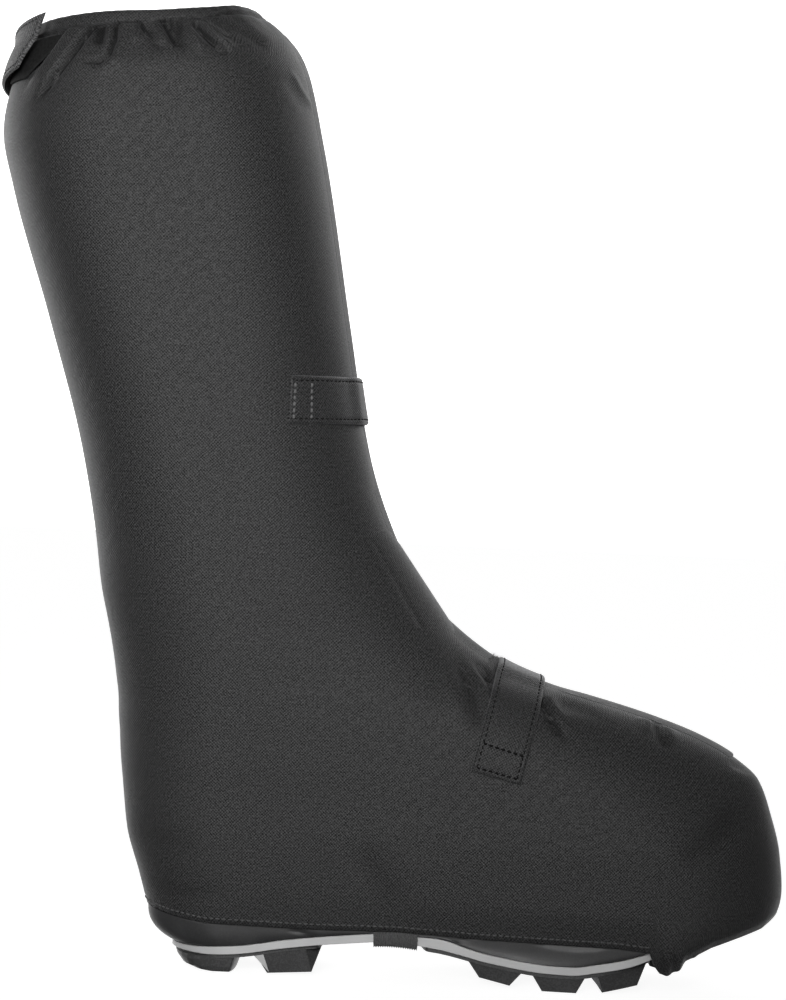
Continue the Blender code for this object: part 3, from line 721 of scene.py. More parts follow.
def make_flap(finish):
    """The flap: its inner edge lies close on the cover, and shows only over the toes."""
    fine = np.linspace(*FLAP_HEIGHTS, FLAP_TRIALS)
    way = summed(np.hypot(np.diff(section_at(fine).front), np.diff(fine)))
    heights = column(np.interp(edge_shares(FLAP_ROWS, way[-1]) * way[-1], way, fine))
    section = section_at(heights)
    width = FLAP_EDGES[1] - FLAP_EDGES[0]
    y = FLAP_EDGES[0] + width * edge_shares(FLAP_COLUMNS, width)
    x = section.front - section.toe_round * (1.0 - np.sqrt(1.0 - (y / section.ball_half) ** 2))
    grid = np.stack([x, centre(x) + y, rise(heights, section, x)], axis=-1)
    inwards = eased(way_along(grid, 1) / FLAP_FEATHER)
    up = way_along(grid, 0)
    downwards = eased((np.max(up, axis=0) - up) / FLAP_FEATHER)
    edge = mix(*FLAP_EDGE, eased((x - FLAP_TOE[0]) / (FLAP_TOE[1] - FLAP_TOE[0])))
    edge = np.where(x < FLAP_TOE[0], edge * downwards, edge)
    bulge, dip = (size * bell(x - place, reach) for place, reach, size in (FLAP_BULGE, FLAP_DIP))
    profile = strip_profile(grid, FLAP) * mix(edge, 1.0, inwards * downwards) * (1.0 - dip)
    profile = np.maximum(profile + bulge * inwards, FLAP_LEAST)
    make_strip("flap", grid, GAP * inwards, profile, finish, "cover_fabric", ["front_flap"])


def strap_lift(grid):
    """Lift of a strap that lies on the cover, its edges pressed on, and climbs over the flap."""
    beside = beside_flap(grid[..., 0], grid[..., 1]) - FLAP_MARGIN
    pressed = eased(np.minimum(to_edges(grid, 0), to_edges(grid, 1)) / STRAP_PRESS)
    return GAP * pressed + (FLAP + FLAP_CLEAR) * eased(1.0 - np.maximum(beside, 0.0) / FLAP_STEP_OUT)


def make_strap(node, grid, lift, finish, **more):
    """A strap that is sewn along its sides and across its ends, in place of a solid."""
    profile = strip_profile(grid, STRAP, seams=True)
    lift = np.broadcast_to(lift, profile.shape)
    return make_strip(node + "_cloth", grid, lift, profile, finish, "strap_fabric", [node], **more)


SHIN_HEIGHTS = (253.5, 275.5)
SHIN_COLUMNS = 90
SHIN_LENGTH = 130.0
SHIN_NEAR_ANGLES = (-65.2, -61.4)  # at its lower and upper edge
SHIN_FAR_ANGLE = 80.0
SHIN_RISE = 2.6       # the strap climbs a little to the front
SHIN_LEVEL = 0.5


def make_shin_strap(finish):
    up = column(edge_shares(STRAP_ROWS, SHIN_HEIGHTS[1] - SHIN_HEIGHTS[0]))
    along = edge_shares(SHIN_COLUMNS, SHIN_LENGTH)
    angles = np.radians(mix(mix(*SHIN_NEAR_ANGLES, up), SHIN_FAR_ANGLE, along))
    heights = mix(*SHIN_HEIGHTS, up) + SHIN_RISE * (np.cos(angles) - SHIN_LEVEL)
    section = section_at(heights)
    x = section.front - section.toe_round * (1.0 - np.cos(angles))
    y = centre(x) + section.ball_half * np.sin(angles)
    grid = np.stack([x, y, heights], axis=-1)[:, ::-1]
    return make_strap("shin_strap", grid, strap_lift(grid), finish, swap=False)


INSTEP_FOOT = (122.2, 96.0)
INSTEP_LEAN = math.radians(13.2)
INSTEP_WIDTH = 23.5
INSTEP_COLUMNS = 110
INSTEP_LENGTH = 170.0
INSTEP_REACH = (20.0, 90.0)  # where the front ridge is looked for along the strap
INSTEP_HALVINGS = 30
INSTEP_PAINTED_HIGHLIGHT = 2.2     # how much lighter the strap's top is painted where it bends over the instep: a painted highlight
INSTEP_HIGHLIGHT_START = 0.72    # how far up that starts, as a share of the strap's height


def make_instep_strap(finish):
    run_x, run_z = math.sin(INSTEP_LEAN), math.cos(INSTEP_LEAN)
    across = column(INSTEP_WIDTH * (0.5 - edge_shares(STRAP_ROWS, INSTEP_WIDTH)))
    start_x = INSTEP_FOOT[0] + run_z * across
    start_z = INSTEP_FOOT[1] - run_x * across
    low, high = (np.full(across.shape, end) for end in INSTEP_REACH)
    for _ in range(INSTEP_HALVINGS):
        middle = (low + high) / 2
        inside = start_x + run_x * middle < section_at(start_z + run_z * middle).front
        low = np.where(inside, middle, low)
        high = np.where(inside, high, middle)
    turn = mix(-math.pi / 2, math.pi / 2, edge_shares(INSTEP_COLUMNS, INSTEP_LENGTH))
    up = low * np.cos(turn)
    x = start_x + run_x * up
    z = start_z + run_z * up
    half = half_width(section_at(z), np.minimum(x, section_at(z).front))
    grid = np.stack([x, centre(x) + np.sign(turn) * half, z], axis=-1)
    # painted highlight on the strap's top where it bends over the instep
    painted_highlight = -INSTEP_PAINTED_HIGHLIGHT * eased((np.cos(turn) - INSTEP_HIGHLIGHT_START) / (1.0 - INSTEP_HIGHLIGHT_START))
    return make_strap("instep_strap", grid, strap_lift(grid), finish, crease=painted_highlight)


COLLAR_NEAR_ANGLES = (34.5, 48.0)
COLLAR_FAR_ANGLE = -70.0
COLLAR_COLUMNS = 70
COLLAR_LENGTH = 105.0
COLLAR_WIDTH = 26.0
COLLAR_BOTTOM = 398.0
COLLAR_CLIMB = 12.8
COLLAR_STAND = 1.2    # how far the strap stands off the cover's plain form
COLLAR_LIFT = 2.6     # how much more its free end does
COLLAR_BEND = (0.3, 1.0)   # where along the strap its free end turns up and stands off
COLLAR_PLAN_TOP = 424.0


def round_heel(section, angle):
    """Places on the heel's curve of a section, by the angle from the rear towards the inner side."""
    return section.rear + section.heel_round * (1.0 - np.cos(angle)), -section.heel_half * np.sin(angle)


def make_collar_strap(finish):
    up = column(edge_shares(STRAP_ROWS, COLLAR_WIDTH))
    share = edge_shares(COLLAR_COLUMNS, COLLAR_LENGTH)
    free = unit((share - COLLAR_BEND[0]) / (COLLAR_BEND[1] - COLLAR_BEND[0]))
    angle = np.radians(mix(COLLAR_FAR_ANGLE, mix(*COLLAR_NEAR_ANGLES, up), share))
    z = COLLAR_BOTTOM + COLLAR_WIDTH * up + COLLAR_CLIMB * free
    x, y = round_heel(section_at(np.minimum(z, COLLAR_PLAN_TOP)), angle)
    grid = np.stack([x, y, z], axis=-1)
    return make_strap("collar_strap", grid, COLLAR_STAND + COLLAR_LIFT * free, finish)


PATCH_HEIGHTS = (409.0, 431.0)
PATCH_REAR_ANGLE = 12.0
PATCH_NEAR_ANGLES = (37.0, 60.0)
PATCH_COLUMNS = 30
PATCH_LENGTH = 40.0
PATCH = 0.6
PATCH_LIFT = 0.6


def make_loop_patch(finish):
    """The pile that the collar strap's hooks close on."""
    up = column(edge_shares(STRAP_ROWS, PATCH_HEIGHTS[1] - PATCH_HEIGHTS[0]))
    heights = mix(*PATCH_HEIGHTS, up)
    along = edge_shares(PATCH_COLUMNS, PATCH_LENGTH)
    section = section_at(heights)
    x, y = round_heel(section, np.radians(mix(PATCH_REAR_ANGLE, mix(*PATCH_NEAR_ANGLES, up), along)))
    grid = np.stack([x, y, rise(heights, section, x)], axis=-1)
    profile = strip_profile(grid, PATCH)
    make_strip("loop_patch", grid, np.full(profile.shape, PATCH_LIFT), profile, finish, "strap_fabric")


# Sole: plate, rubber side wall and treads
PLATE_KNOTS = (
    (-25, 8.7), (-8, 8.1), (5, 8.7), (30, 12.8), (55, 16.2), (78, 18.2), (98, 16.5), (125, 11.2), (150, 8.3),
    (160, 8.1), (173, 10.1), (186, 12.9), (200, 18.2), (222, 26.5), (242, 34),
)
PLATE = 3.7
PLATE_REAR = 0.6
PLATE_TAPER = 25.0
PLATE_SWELL = (101.0, 9.0, 1.1)   # where the plate is thicker in front of the arch, its reach and by how much
PLATE_PLAN = Section(-24.5, 238.0, 32.5, 46.5, 27, 62)
PLATE_BEVEL = 0.2
PLATE_SHARP = math.radians(30)
BED_KNOTS = ((-40, 30), (60, 29), (150, 27), (190, 30), (222, 39), (246, 49))
MIDSOLE_TOE = 246.0
SOLE_GAP = 0.6
LIP = 0.8
LEDGE = 0.3
LEDGE_END = 190.0
WALL_LAYERS = 13
SWELL_POWER = 3.7
HEEL_SWELL_POWER = 2.6
SOLE_STEPS = (40, 90, 30)

plate_underside = smooth_curve(*zip(*PLATE_KNOTS))
bed = smooth_curve(*zip(*BED_KNOTS))


def plate_top(x):
    taper = eased((x - PLATE_PLAN.rear) / PLATE_TAPER)
    place, reach, more = PLATE_SWELL
    return plate_underside(x) + PLATE * mix(PLATE_REAR, 1.0, taper) + more * bell(x - place, reach)


def slab_points(layers):
    """Rings of a slab through layers of a plan and a height along it."""
    places = stations(SOLE_STEPS, SOLE_STEPS)
    rings = []
    for section, height in layers:
        x, y = plan(section, places)
        rings.append(np.stack([x, y, height(x)], axis=-1))
    return np.array(rings)


def slab_mesh(name, rings, sharp):
    """A closed solid through rings, with strips across its two ends."""
    count = rings.shape[1]
    faces = ring_faces(0, len(rings), count)
    last = (len(rings) - 1) * count
    for i in range(count // 2):
        corners = list(dict.fromkeys((i, i + 1, count - i - 1, (count - i) % count)))
        faces.append(corners)
        faces.append([last + k for k in corners[::-1]])
    mesh = mesh_from(name, rings.reshape(-1, 3), faces)
    mesh.set_sharp_from_angle(angle=sharp)
    return mesh


def make_plate(finish):
    rounded = grown(PLATE_PLAN, -PLATE_BEVEL)
    layers = [
        (rounded, plate_underside),
        (PLATE_PLAN, lambda x: plate_underside(x) + PLATE_BEVEL),
        (PLATE_PLAN, lambda x: plate_top(x) - PLATE_BEVEL),
        (rounded, plate_top),
    ]
    mesh = slab_mesh("plate_shell", slab_points(layers), PLATE_SHARP)
    add_piece("plate_shell", mesh, finish, "plate", "plate")


# Hollow in the rubber wall under the hem, and seams behind and in front of the arch
SCALLOP = ((140, 22), (150, 19.3), (161, 18.4), (171, 19.2), (182, 22.5))
SCALLOP_NONE = 60.0   # above the wall, so that it has no hollow elsewhere
SCALLOP_DEPTH = 0.6
SCALLOP_EDGE = 3.0
WALL_SEAMS = (
    Fold(((32, 21.8), (45, 18)), -0.9, 0.7),
    Fold(((104, 18.5), (117, 24)), -0.5, 0.6),
)


def make_midsole(finish):
    wall = grown(HEM_SECTION, -CLOTH - SOLE_GAP)
    wall = wall._replace(front=MIDSOLE_TOE, toe_round=wall.toe_round - wall.front + MIDSOLE_TOE)
    swell = CLOTH + SOLE_GAP - LIP
    lip = wall._replace(rear=wall.rear - swell, heel_round=wall.heel_round + swell)

    def foot(x):
        return plate_top(x) + GAP

    def ledge(x):
        return np.maximum(hem(np.minimum(x, LEDGE_END)) - GAP - LEDGE, foot(x) + LEDGE)

    layers = []
    for share in np.linspace(0.0, 1.0, WALL_LAYERS):
        out = 1.0 - (1.0 - share) ** SWELL_POWER
        section = Section(*(mix(a, b, out) for a, b in zip(PLATE_PLAN, lip)))
        rear = mix(PLATE_PLAN.rear, lip.rear, 1.0 - (1.0 - share) ** HEEL_SWELL_POWER)
        section = section._replace(rear=rear, heel_round=section.heel_round + section.rear - rear)
        layers.append((section, lambda x, share=share: mix(foot(x), ledge(x), share)))
    layers += [(wall, lambda x: ledge(x) + LEDGE), (wall, bed)]
    rings = slab_points(layers)
    x, _, z = np.moveaxis(rings, -1, 0)
    edge = np.interp(x, *zip(*SCALLOP), left=SCALLOP_NONE, right=SCALLOP_NONE)
    hollow = -SCALLOP_DEPTH * eased((z - edge) / SCALLOP_EDGE) * (z < ledge(x) + LEDGE)
    seams = sum(fold_height(seam, x, z) for seam in WALL_SEAMS)
    rings = rings + normals_of(rings, closed=True) * (hollow + seams)[..., None]
    add_piece("side_wall", slab_mesh("side_wall", rings, SHARP), finish, "rubber", "midsole")


WEBBING_ENDS = (70.0, 90.0)
WEBBING_COLUMNS = 61
WEBBING_RIBS = 19
RIB_STEPS = 8
WEBBING_RIB = 0.3
ARCH_DROP = 0.8
ARCH_BOW = 1.2
ARCH_BOW_LOW = 0.7
ARCH_BEND = 0.5


def make_webbing(finish):
    x = column(mix(*WEBBING_ENDS, np.linspace(0.0, 1.0, WEBBING_RIBS * RIB_STEPS + 1)))
    plate_half = half_width(PLATE_PLAN, x)
    under = plate_underside(x) - GAP
    side = [
        (half_width(HEM_SECTION, x) - WEBBING, hem(x) - ARCH_DROP),
        (plate_half + ARCH_BOW, (hem(x) + under) / 2),
        (plate_half + ARCH_BOW_LOW, under + ARCH_BEND),
        (plate_half - GAP, under - GAP),
        (plate_half / 2, under),
    ]
    path = [(centre(x) - half, z) for half, z in side] + [(centre(x), under)]
    path += [(centre(x) + half, z) for half, z in reversed(side)]
    knots = np.stack([np.concatenate([x, y, z], axis=1) for y, z in path], axis=1)
    fine = np.linspace(0.0, len(path) - 1.0, WEBBING_COLUMNS)
    low = np.minimum(fine.astype(int), len(path) - 2)
    grid = mix(knots[:, low], knots[:, low + 1], (fine - low)[None, :, None])
    start, end = WEBBING_ENDS
    ribs = np.cos((x - start) * WEBBING_RIBS * 2.0 * math.pi / (end - start))
    profile = WEBBING + WEBBING_RIB * ribs * np.ones(WEBBING_COLUMNS)
    make_strip("webbing_band", grid, np.zeros(profile.shape), profile, finish, "webbing", ["arch_strap"])


# Treads: the lugs with their edges rounded, and the grey faces that some of them turn to the rear
LUG_ROUND = 0.5
LUG_SEGMENTS = 2
LUG_SHARP = math.radians(35)
REARWARDS = -0.5      # what faces the rear more than this is a lug's rear face
GREY_FACES = {"heel_tread": ((14.0, 24.0),), "forefoot_tread": ((140.0, 150.0), (167.0, 178.0))}


def make_tread(name, finish, grey):
    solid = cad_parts[name]
    mesh = solid.data.copy()
    mesh.materials.clear()
    tread = add_piece(name.replace("tread", "lugs"), mesh, finish, "rubber", name)
    tread.matrix_world = solid.matrix_world.copy()
    mesh.materials.append(grey)
    for face in mesh.polygons:
        x = face.center.x / MM
        if face.normal.x < REARWARDS and any(low < x < high for low, high in GREY_FACES[name]):
            face.material_index = 1
    rounding = tread.modifiers.new("rounding", "BEVEL")
    rounding.width = LUG_ROUND * MM
    rounding.segments = LUG_SEGMENTS
    rounding.limit_method = "ANGLE"
    rounding.angle_limit = LUG_SHARP


# Facets on the rear corners of lugs, in x, z and half width: light grey at the heel, a darker mid-grey rubber
# in front
HEEL_FACET = ((12.8, 10.6, 30.5), (18.6, 11.2, 30.5), (22.4, 0.9, 29.2))
FORE_FACET = ((169.3, 7.9, 45.35), (172.7, 7.9, 45.35), (175.2, 1.0, 43.6))
FACET_PROUD = 0.15
FACET_DEPTH = 3.0
FACET_SIDES = ((0, 1, 2), (5, 4, 3), (1, 0, 3, 4), (2, 1, 4, 5), (0, 2, 5, 3))


def joined(name, parts):
    """One mesh of small parts, each with its points and its faces numbered from 0."""
    verts = []
    faces = []
    for points, sides in parts:
        faces += [tuple(len(verts) + k for k in side) for side in sides]
        verts += points
    return mesh_from(name, verts, faces)


def make_facets(name, corners, finish, slot):
    parts = []
    for sign in (NEAR, FAR):
        depths = (FACET_PROUD, -FACET_DEPTH)
        points = [(x, centre(x) + sign * (half + d), z) for d in depths for x, z, half in corners]
        parts.append((points, [side if sign == FAR else side[::-1] for side in FACET_SIDES]))
    mesh = joined(name, parts)
    mesh.shade_flat()
    add_piece(name, mesh, finish, slot)


# Stitches: short rounded dashes of thread along a line on a surface
STITCH = 1.9
STITCH_GAP = 1.0
THREAD = 0.29
BOX_THREAD = 0.5
SHIN_BOX_THREAD = 0.6
HEM_THREAD = 0.4
# Share of a stitch's length, size and lift
STITCH_RINGS = ((0, 0.55, -0.15), (0.2, 1, 0.12), (0.5, 1.05, 0.22), (0.8, 1, 0.12), (1, 0.55, -0.15))
THREAD_SIDES = 6
THREAD_ANGLES = [2.0 * math.pi * k / THREAD_SIDES for k in range(THREAD_SIDES)]


def stitches(line, normals, thread):
    """Points and faces of each stitch along a line."""
    last = (len(STITCH_RINGS) - 1) * THREAD_SIDES
    faces = ring_faces(0, len(STITCH_RINGS), THREAD_SIDES)
    faces += [range(THREAD_SIDES), range(last + THREAD_SIDES - 1, last - 1, -1)]
    way = summed(np.linalg.norm(np.diff(line, axis=0), axis=-1))
    places = np.arange(0.0, way[-1], STITCH + STITCH_GAP)

    def at(places, values):
        return np.stack([np.interp(places, way, part) for part in values.T], axis=-1)

    for start, end, normal in zip(at(places, line), at(places + STITCH, line), at(places, normals)):
        run = end - start
        if np.linalg.norm(run) < STITCH / 2:
            continue
        side = np.cross(run, normal)
        side /= np.linalg.norm(side)
        points = []
        for share, size, lift in STITCH_RINGS:
            middle = start + run * share + normal * lift
            for angle in THREAD_ANGLES:
                points.append(middle + thread * size * (math.cos(angle) * side + math.sin(angle) * normal))
        yield points, faces


def add_stitches(name, runs, finish, slot, thread):
    parts = [stitch for line, normals in runs for stitch in stitches(line, normals, thread)]
    add_piece(name, joined(name, parts), finish, slot)


def strip_line(strip, inset, turned=False):
    """A line along a strip's upper face, at an inset from a side, or across it from an end where turned."""
    if turned:
        strip = Strip(*(values.swapaxes(0, 1) for values in strip))
        strip = strip._replace(across=strip.along, along=strip.across)
    way = strip.across[:, strip.across.shape[1] // 2]
    row = int(np.argmin(np.abs(way - (inset if inset > 0.0 else way[-1] + inset))))
    along = strip.along[row]
    keep = (along > SEAM_INSET) & (along < along[-1] - SEAM_INSET)
    return strip.top[row][keep], strip.normals[row][keep]


BOX_ENDS = {"shin": (SEAM_INSET, 10.4), "instep": (SEAM_INSET, 13.5), "collar": (SEAM_INSET,)}
HEM_STITCH_END = 6.0  # how far behind the toe cup's rear the hem's stitches end


def add_cover_stitches(outer, normals, thread):
    columns = np.arange(outer.shape[1])
    rows = np.argmax(outer[..., 2] - hem(outer[..., 0]) > HEM_STITCH, axis=0)
    line, facing = outer[rows, columns], normals[rows, columns]
    in_hem = np.flatnonzero(line[:, 0] < CUP_REAR - HEM_STITCH_END)
    add_stitches("hem_stitches", [(line[in_hem], facing[in_hem])], thread, "cover_fabric", HEM_THREAD)


def add_strap_stitches(strips, threads):
    """Lines along the straps and across their ends, with a thread for each and the size of the end's one."""
    for name, box_ends in BOX_ENDS.items():
        sides = [strip_line(strips[name], place) for place in (SEAM_INSET, -SEAM_INSET)]
        places = [place for end in box_ends for place in (end, -end)]
        ends = [strip_line(strips[name], place, turned=True) for place in places]
        side_thread, end_thread, end_size = threads[name]
        add_stitches(name + "_side_stitches", sides, side_thread, "strap_fabric", THREAD)
        add_stitches(name + "_end_stitches", ends, end_thread, "strap_fabric", end_size)


# Fuzz of the hook-and-loop tape that looks out behind the instep strap
HAIRS = 170
HAIR_LENGTH = (1.0, 2.8)
HAIR = 0.11
HAIR_CORNERS = ((1.0, 0.0), (-0.5, 0.87), (-0.5, -0.87))
HAIR_FACES = ((0, 2, 1), (0, 1, 3), (1, 2, 3), (2, 0, 3))
HAIR_ROOT = 0.1       # how far above the strap's edge the hairs start
HAIR_STRAY = 0.5
HAIR_LEAN = np.array([0.5, 0.0, 0.0])
HAIR_ASIDE = (0.3, 0.9, 0.2)
FUZZ_REACH = 13
FUZZ_STRIP = 5.0
FUZZ_SPREAD = (-0.1, 1.0)
FUZZ_FROM = 14        # row of the strap, from its edge, that shows which way the edge faces
FUZZ_SEED = 3


def add_fuzz(strip, finish):
    chance = np.random.default_rng(FUZZ_SEED)
    middle = strip.top.shape[1] // 2
    hairs = []
    for _ in range(HAIRS):
        col = middle + int(chance.integers(-FUZZ_REACH, FUZZ_REACH + 1))
        edge, normal = strip.top[-1, col], strip.normals[-1, col]
        out = edge - strip.top[-FUZZ_FROM, col]
        out *= chance.uniform(*FUZZ_SPREAD) * FUZZ_STRIP / np.linalg.norm(out)
        root = edge + out + normal * HAIR_ROOT
        lean = normal + chance.normal(0.0, HAIR_STRAY, 3) - HAIR_LEAN
        lean /= np.linalg.norm(lean)
        side = np.cross(lean, HAIR_ASIDE)
        side /= np.linalg.norm(side)
        other = np.cross(lean, side)
        points = [root + HAIR * (a * side + b * other) for a, b in HAIR_CORNERS]
        hairs.append((points + [root + lean * chance.uniform(*HAIR_LENGTH)], HAIR_FACES))
    add_piece("tape_fuzz", joined("tape_fuzz", hairs), finish, "strap_fabric")


# Materials
class Nodes:
    """Short ways to add nodes to a material or to the world."""

    def __init__(self, owner):
        owner.use_nodes = True
        self.tree = owner.node_tree

    def add(self, kind, **values):
        made = self.tree.nodes.new("ShaderNode" + kind)
        for name, value in values.items():
            if hasattr(made, name):
                setattr(made, name, value)
            else:
                made.inputs[name.title()].default_value = value
        return made

    def link(self, start, end):
        self.tree.links.new(start, end)

    def maths(self, operation, first, second=0.0):
        made = self.add("Math", operation=operation)
        for socket, value in zip(made.inputs, (first, second)):
            if isinstance(value, (int, float)):
                socket.default_value = value
            else:
                self.link(value, socket)
        return made.outputs[0]

    def split(self, vector):
        made = self.add("SeparateXYZ")
        self.link(vector, made.inputs[0])
        return made.outputs

    def passage(self, value, *limits):
        """A smooth passage. Limits are where it starts and ends, and its values there."""
        made = self.add("MapRange", interpolation_type="SMOOTHSTEP")
        for socket, limit in zip(made.inputs[1:5], limits):
            socket.default_value = limit
        self.link(value, made.inputs[0])
        return made.outputs[0]


class Finish(Nodes):
    """A material, with values for its shader's sockets by their names."""

    def __init__(self, name, colour, roughness, **values):
        self.material = bpy.data.materials.new(name)
        super().__init__(self.material)
        self.colour = colour
        self.sockets = self.tree.nodes["Principled BSDF"].inputs
        self.sockets["Base Color"].default_value = (*colour, 1.0)
        self.sockets["Roughness"].default_value = roughness
        for socket, value in values.items():
            self.sockets[socket.replace("_", " ")].default_value = value

    def place(self):
        return self.add("TexCoord").outputs["Object"]

    def noise(self, vector, scale, detail, roughness=0.5):
        made = self.add("TexNoise", scale=scale, detail=detail, roughness=roughness)
        self.link(vector, made.inputs["Vector"])
        return made.outputs[0]

    def tone(self, value, darker, lighter):
        """Colour that passes from a darker to a lighter tone, each with a value where it lies and a share."""
        ramp = self.add("ValToRGB")
        for element, (position, share) in zip(ramp.color_ramp.elements, (darker, lighter)):
            element.position = position
            element.color = tuple(share * part for part in self.colour) + (1.0,)
        self.link(value, ramp.inputs[0])
        self.link(ramp.outputs[0], self.sockets["Base Color"])

    def bump(self, height, strength, distance):
        made = self.add("Bump", strength=strength, distance=distance)
        self.link(height, made.inputs["Height"])
        self.link(made.outputs[0], self.sockets["Normal"])


TWILL_PITCH = 0.0017
TWILL = 0.12          # strength of the diagonal ribs beside that of the yarns
YARN_PITCH = 0.00145
YARN_WANDER = 0.0012  # how far the yarns stray from their even places
WANDER_SCALE = 70.0
WEAVE_PATCHES = (0.35, 0.65, 0.6, 1.1)   # noise between these values makes the weave faint to clear
WEAVE_PATCH_SCALE = 300.0
WEAVE_LIGHT = 0.9     # how much the weave, lint and blotches change the colour
LINT_SCALE = 1000.0
LINT_LIGHT = 5.0
LINT_RELIEF = 0.8
BLOTCH_SCALE = 22.0
BLOTCH_LIGHT = 0.16
LEAST_LIGHT = 0.15
# how strongly the painted shading changes the cloth's colour
CREASE_SHADE = 0.75
SHEEN_TINT = (0.9, 0.9, 0.92, 1.0)


def cloth(name, colour, sheen):
    """Fine twill: diagonal ribs of yarns with flecks of lint, soft sheen, faint mottling, painted shade in
    creases and a painted highlight on ridges.
    """
    made = Finish(
        name, colour, roughness=0.55, Specular_IOR_Level=0.3,
        Sheen_Weight=sheen, Sheen_Roughness=0.45, Sheen_Tint=SHEEN_TINT,
    )
    maths = made.maths
    uv = made.add("UVMap", uv_map="cloth").outputs[0]
    u, v = made.split(uv)[:2]
    stray = maths("MULTIPLY", made.noise(uv, WANDER_SCALE, detail=1.0), YARN_WANDER)

    def waves(way, pitch):
        return maths("SINE", maths("MULTIPLY", maths("ADD", way, stray), 2.0 * math.pi / pitch))

    clear = made.passage(made.noise(uv, WEAVE_PATCH_SCALE, detail=2.0), *WEAVE_PATCHES)
    checks = maths("MULTIPLY", maths("MULTIPLY", waves(u, YARN_PITCH), waves(v, YARN_PITCH)), clear)
    ribs = maths("MULTIPLY", waves(maths("ADD", u, v), TWILL_PITCH), TWILL)
    weave = maths("ADD", ribs, checks)
    lint = made.noise(uv, LINT_SCALE, detail=2.0, roughness=0.75)
    blotch = made.noise(made.place(), BLOTCH_SCALE, detail=3.0, roughness=0.55)
    light = maths("MULTIPLY", weave, WEAVE_LIGHT)
    light = maths("ADD", light, maths("MULTIPLY", lint, LINT_LIGHT))
    light = maths("ADD", light, maths("MULTIPLY", blotch, BLOTCH_LIGHT))
    light = maths("ADD", light, 1.0 - (LINT_LIGHT + BLOTCH_LIGHT) / 2)
    light = maths("MAXIMUM", light, LEAST_LIGHT)
    # painted shading from the mesh: painted shade in the cover's troughs, painted highlight on its ridges and
    # on the instep strap's top
    crease = made.add("Attribute", attribute_name="crease").outputs["Fac"]
    light = maths("MULTIPLY", light, maths("ADD", maths("MULTIPLY", crease, -CREASE_SHADE), 1.0))
    shade = made.add("Mix", data_type="RGBA", blend_type="MULTIPLY")
    shade.inputs[0].default_value = 1.0
    shade.inputs[6].default_value = (*colour, 1.0)
    made.link(light, shade.inputs[7])
    made.link(shade.outputs[2], made.sockets["Base Color"])
    relief = maths("ADD", weave, maths("MULTIPLY", lint, LINT_RELIEF))
    made.bump(relief, strength=0.55, distance=0.00016)
    return made.material


DUST_ROUGHNESS = (0.25, -0.12)  # how much rougher dust makes rubber, and what that starts from


def rubber(name, colour, roughness, coat, speckle):
    """Moulded rubber: satin, with a fine pebble, dusty patches and specks of dust."""
    made = Finish(name, colour, roughness, Coat_Weight=coat, Coat_Roughness=0.35)
    place = made.place()
    pebble = made.noise(place, scale=1300.0, detail=2.0)
    dust = made.noise(place, scale=60.0, detail=4.0, roughness=0.6)
    specks = made.maths("MULTIPLY", made.maths("SUBTRACT", pebble, 0.5), speckle)
    made.tone(made.maths("ADD", dust, specks), darker=(0.35, 0.85), lighter=(0.75, 1.35))
    more, start = DUST_ROUGHNESS
    rough = made.maths("ADD", made.maths("MULTIPLY", dust, more), roughness + start)
    made.link(rough, made.sockets["Roughness"])
    made.bump(pebble, strength=0.25, distance=0.0001)
    return made.material


def moulded(name, colour):
    """Light grey nylon: satin, faintly mottled, with a fine grain."""
    made = Finish(name, colour, roughness=0.42)
    place = made.place()
    cloud = made.noise(place, scale=45.0, detail=3.0)
    made.tone(cloud, darker=(0.3, 0.92), lighter=(0.7, 1.06))
    made.bump(made.noise(place, scale=1400.0, detail=2.0), strength=0.15, distance=0.00008)
    return made.material


THREAD_GRAIN = 3000.0


def plain_cloth(name, colour, sheen, scale=THREAD_GRAIN):
    """Cloth with a grain that needs no lengths along it: threads, webbing, footbed, hook-and-loop pile."""
    made = Finish(
        name, colour, roughness=0.85, Specular_IOR_Level=0.15, Sheen_Weight=sheen, Sheen_Roughness=0.5,
    )
    grain = made.noise(made.place(), scale, detail=3.0, roughness=0.7)
    made.tone(grain, darker=(0.3, 0.6), lighter=(0.72, 1.5))
    made.bump(grain, strength=0.5, distance=0.0002)
    return made.material


# Studio: camera at the photo's angle, pale floor, soft light
CAMERA_DISTANCE = 1.5
CAMERA_X = 0.070
CAMERA_Z = 0.2207
CAMERA_ROLL = math.radians(2.5)
FRAME_HEIGHT = 0.47   # height of the picture at the shoe, in metres
SENSOR = 36.0


def add_camera():
    data = bpy.data.cameras.new("camera")
    data.sensor_width = SENSOR
    data.lens = SENSOR * CAMERA_DISTANCE / FRAME_HEIGHT
    camera = bpy.data.objects.new("camera", data)
    bpy.context.scene.collection.objects.link(camera)
    turn = Matrix.Rotation(math.pi / 2, 4, "X") @ Matrix.Rotation(CAMERA_ROLL, 4, "Z")
    camera.matrix_world = Matrix.Translation((CAMERA_X, -CAMERA_DISTANCE, CAMERA_Z)) @ turn
    bpy.context.scene.camera = camera


FLOOR_SIZE = 30.0
FLOOR_DROP = 0.0002
FLOOR_GREY = (0.35, 0.35, 0.35)
FLOOR_GLOW = 0.92     # the floor glows by itself, and throws no light on the shoe


def add_floor():
    half = FLOOR_SIZE / 2
    mesh = bpy.data.meshes.new("floor")
    corners = [(-half, -half, 0), (half, -half, 0), (half, half, 0), (-half, half, 0)]
    mesh.from_pydata(corners, [], [(0, 1, 2, 3)])
    finish = Finish(
        "floor_white", FLOOR_GREY, roughness=0.9, Specular_IOR_Level=0.0,
        Emission_Color=(1.0, 1.0, 1.0, 1.0), Emission_Strength=FLOOR_GLOW,
    )
    mesh.materials.append(finish.material)
    floor = bpy.data.objects.new("floor", mesh)
    floor.location.z = -FLOOR_DROP
    floor.visible_diffuse = False
    floor.visible_glossy = False
    bpy.context.scene.collection.objects.link(floor)


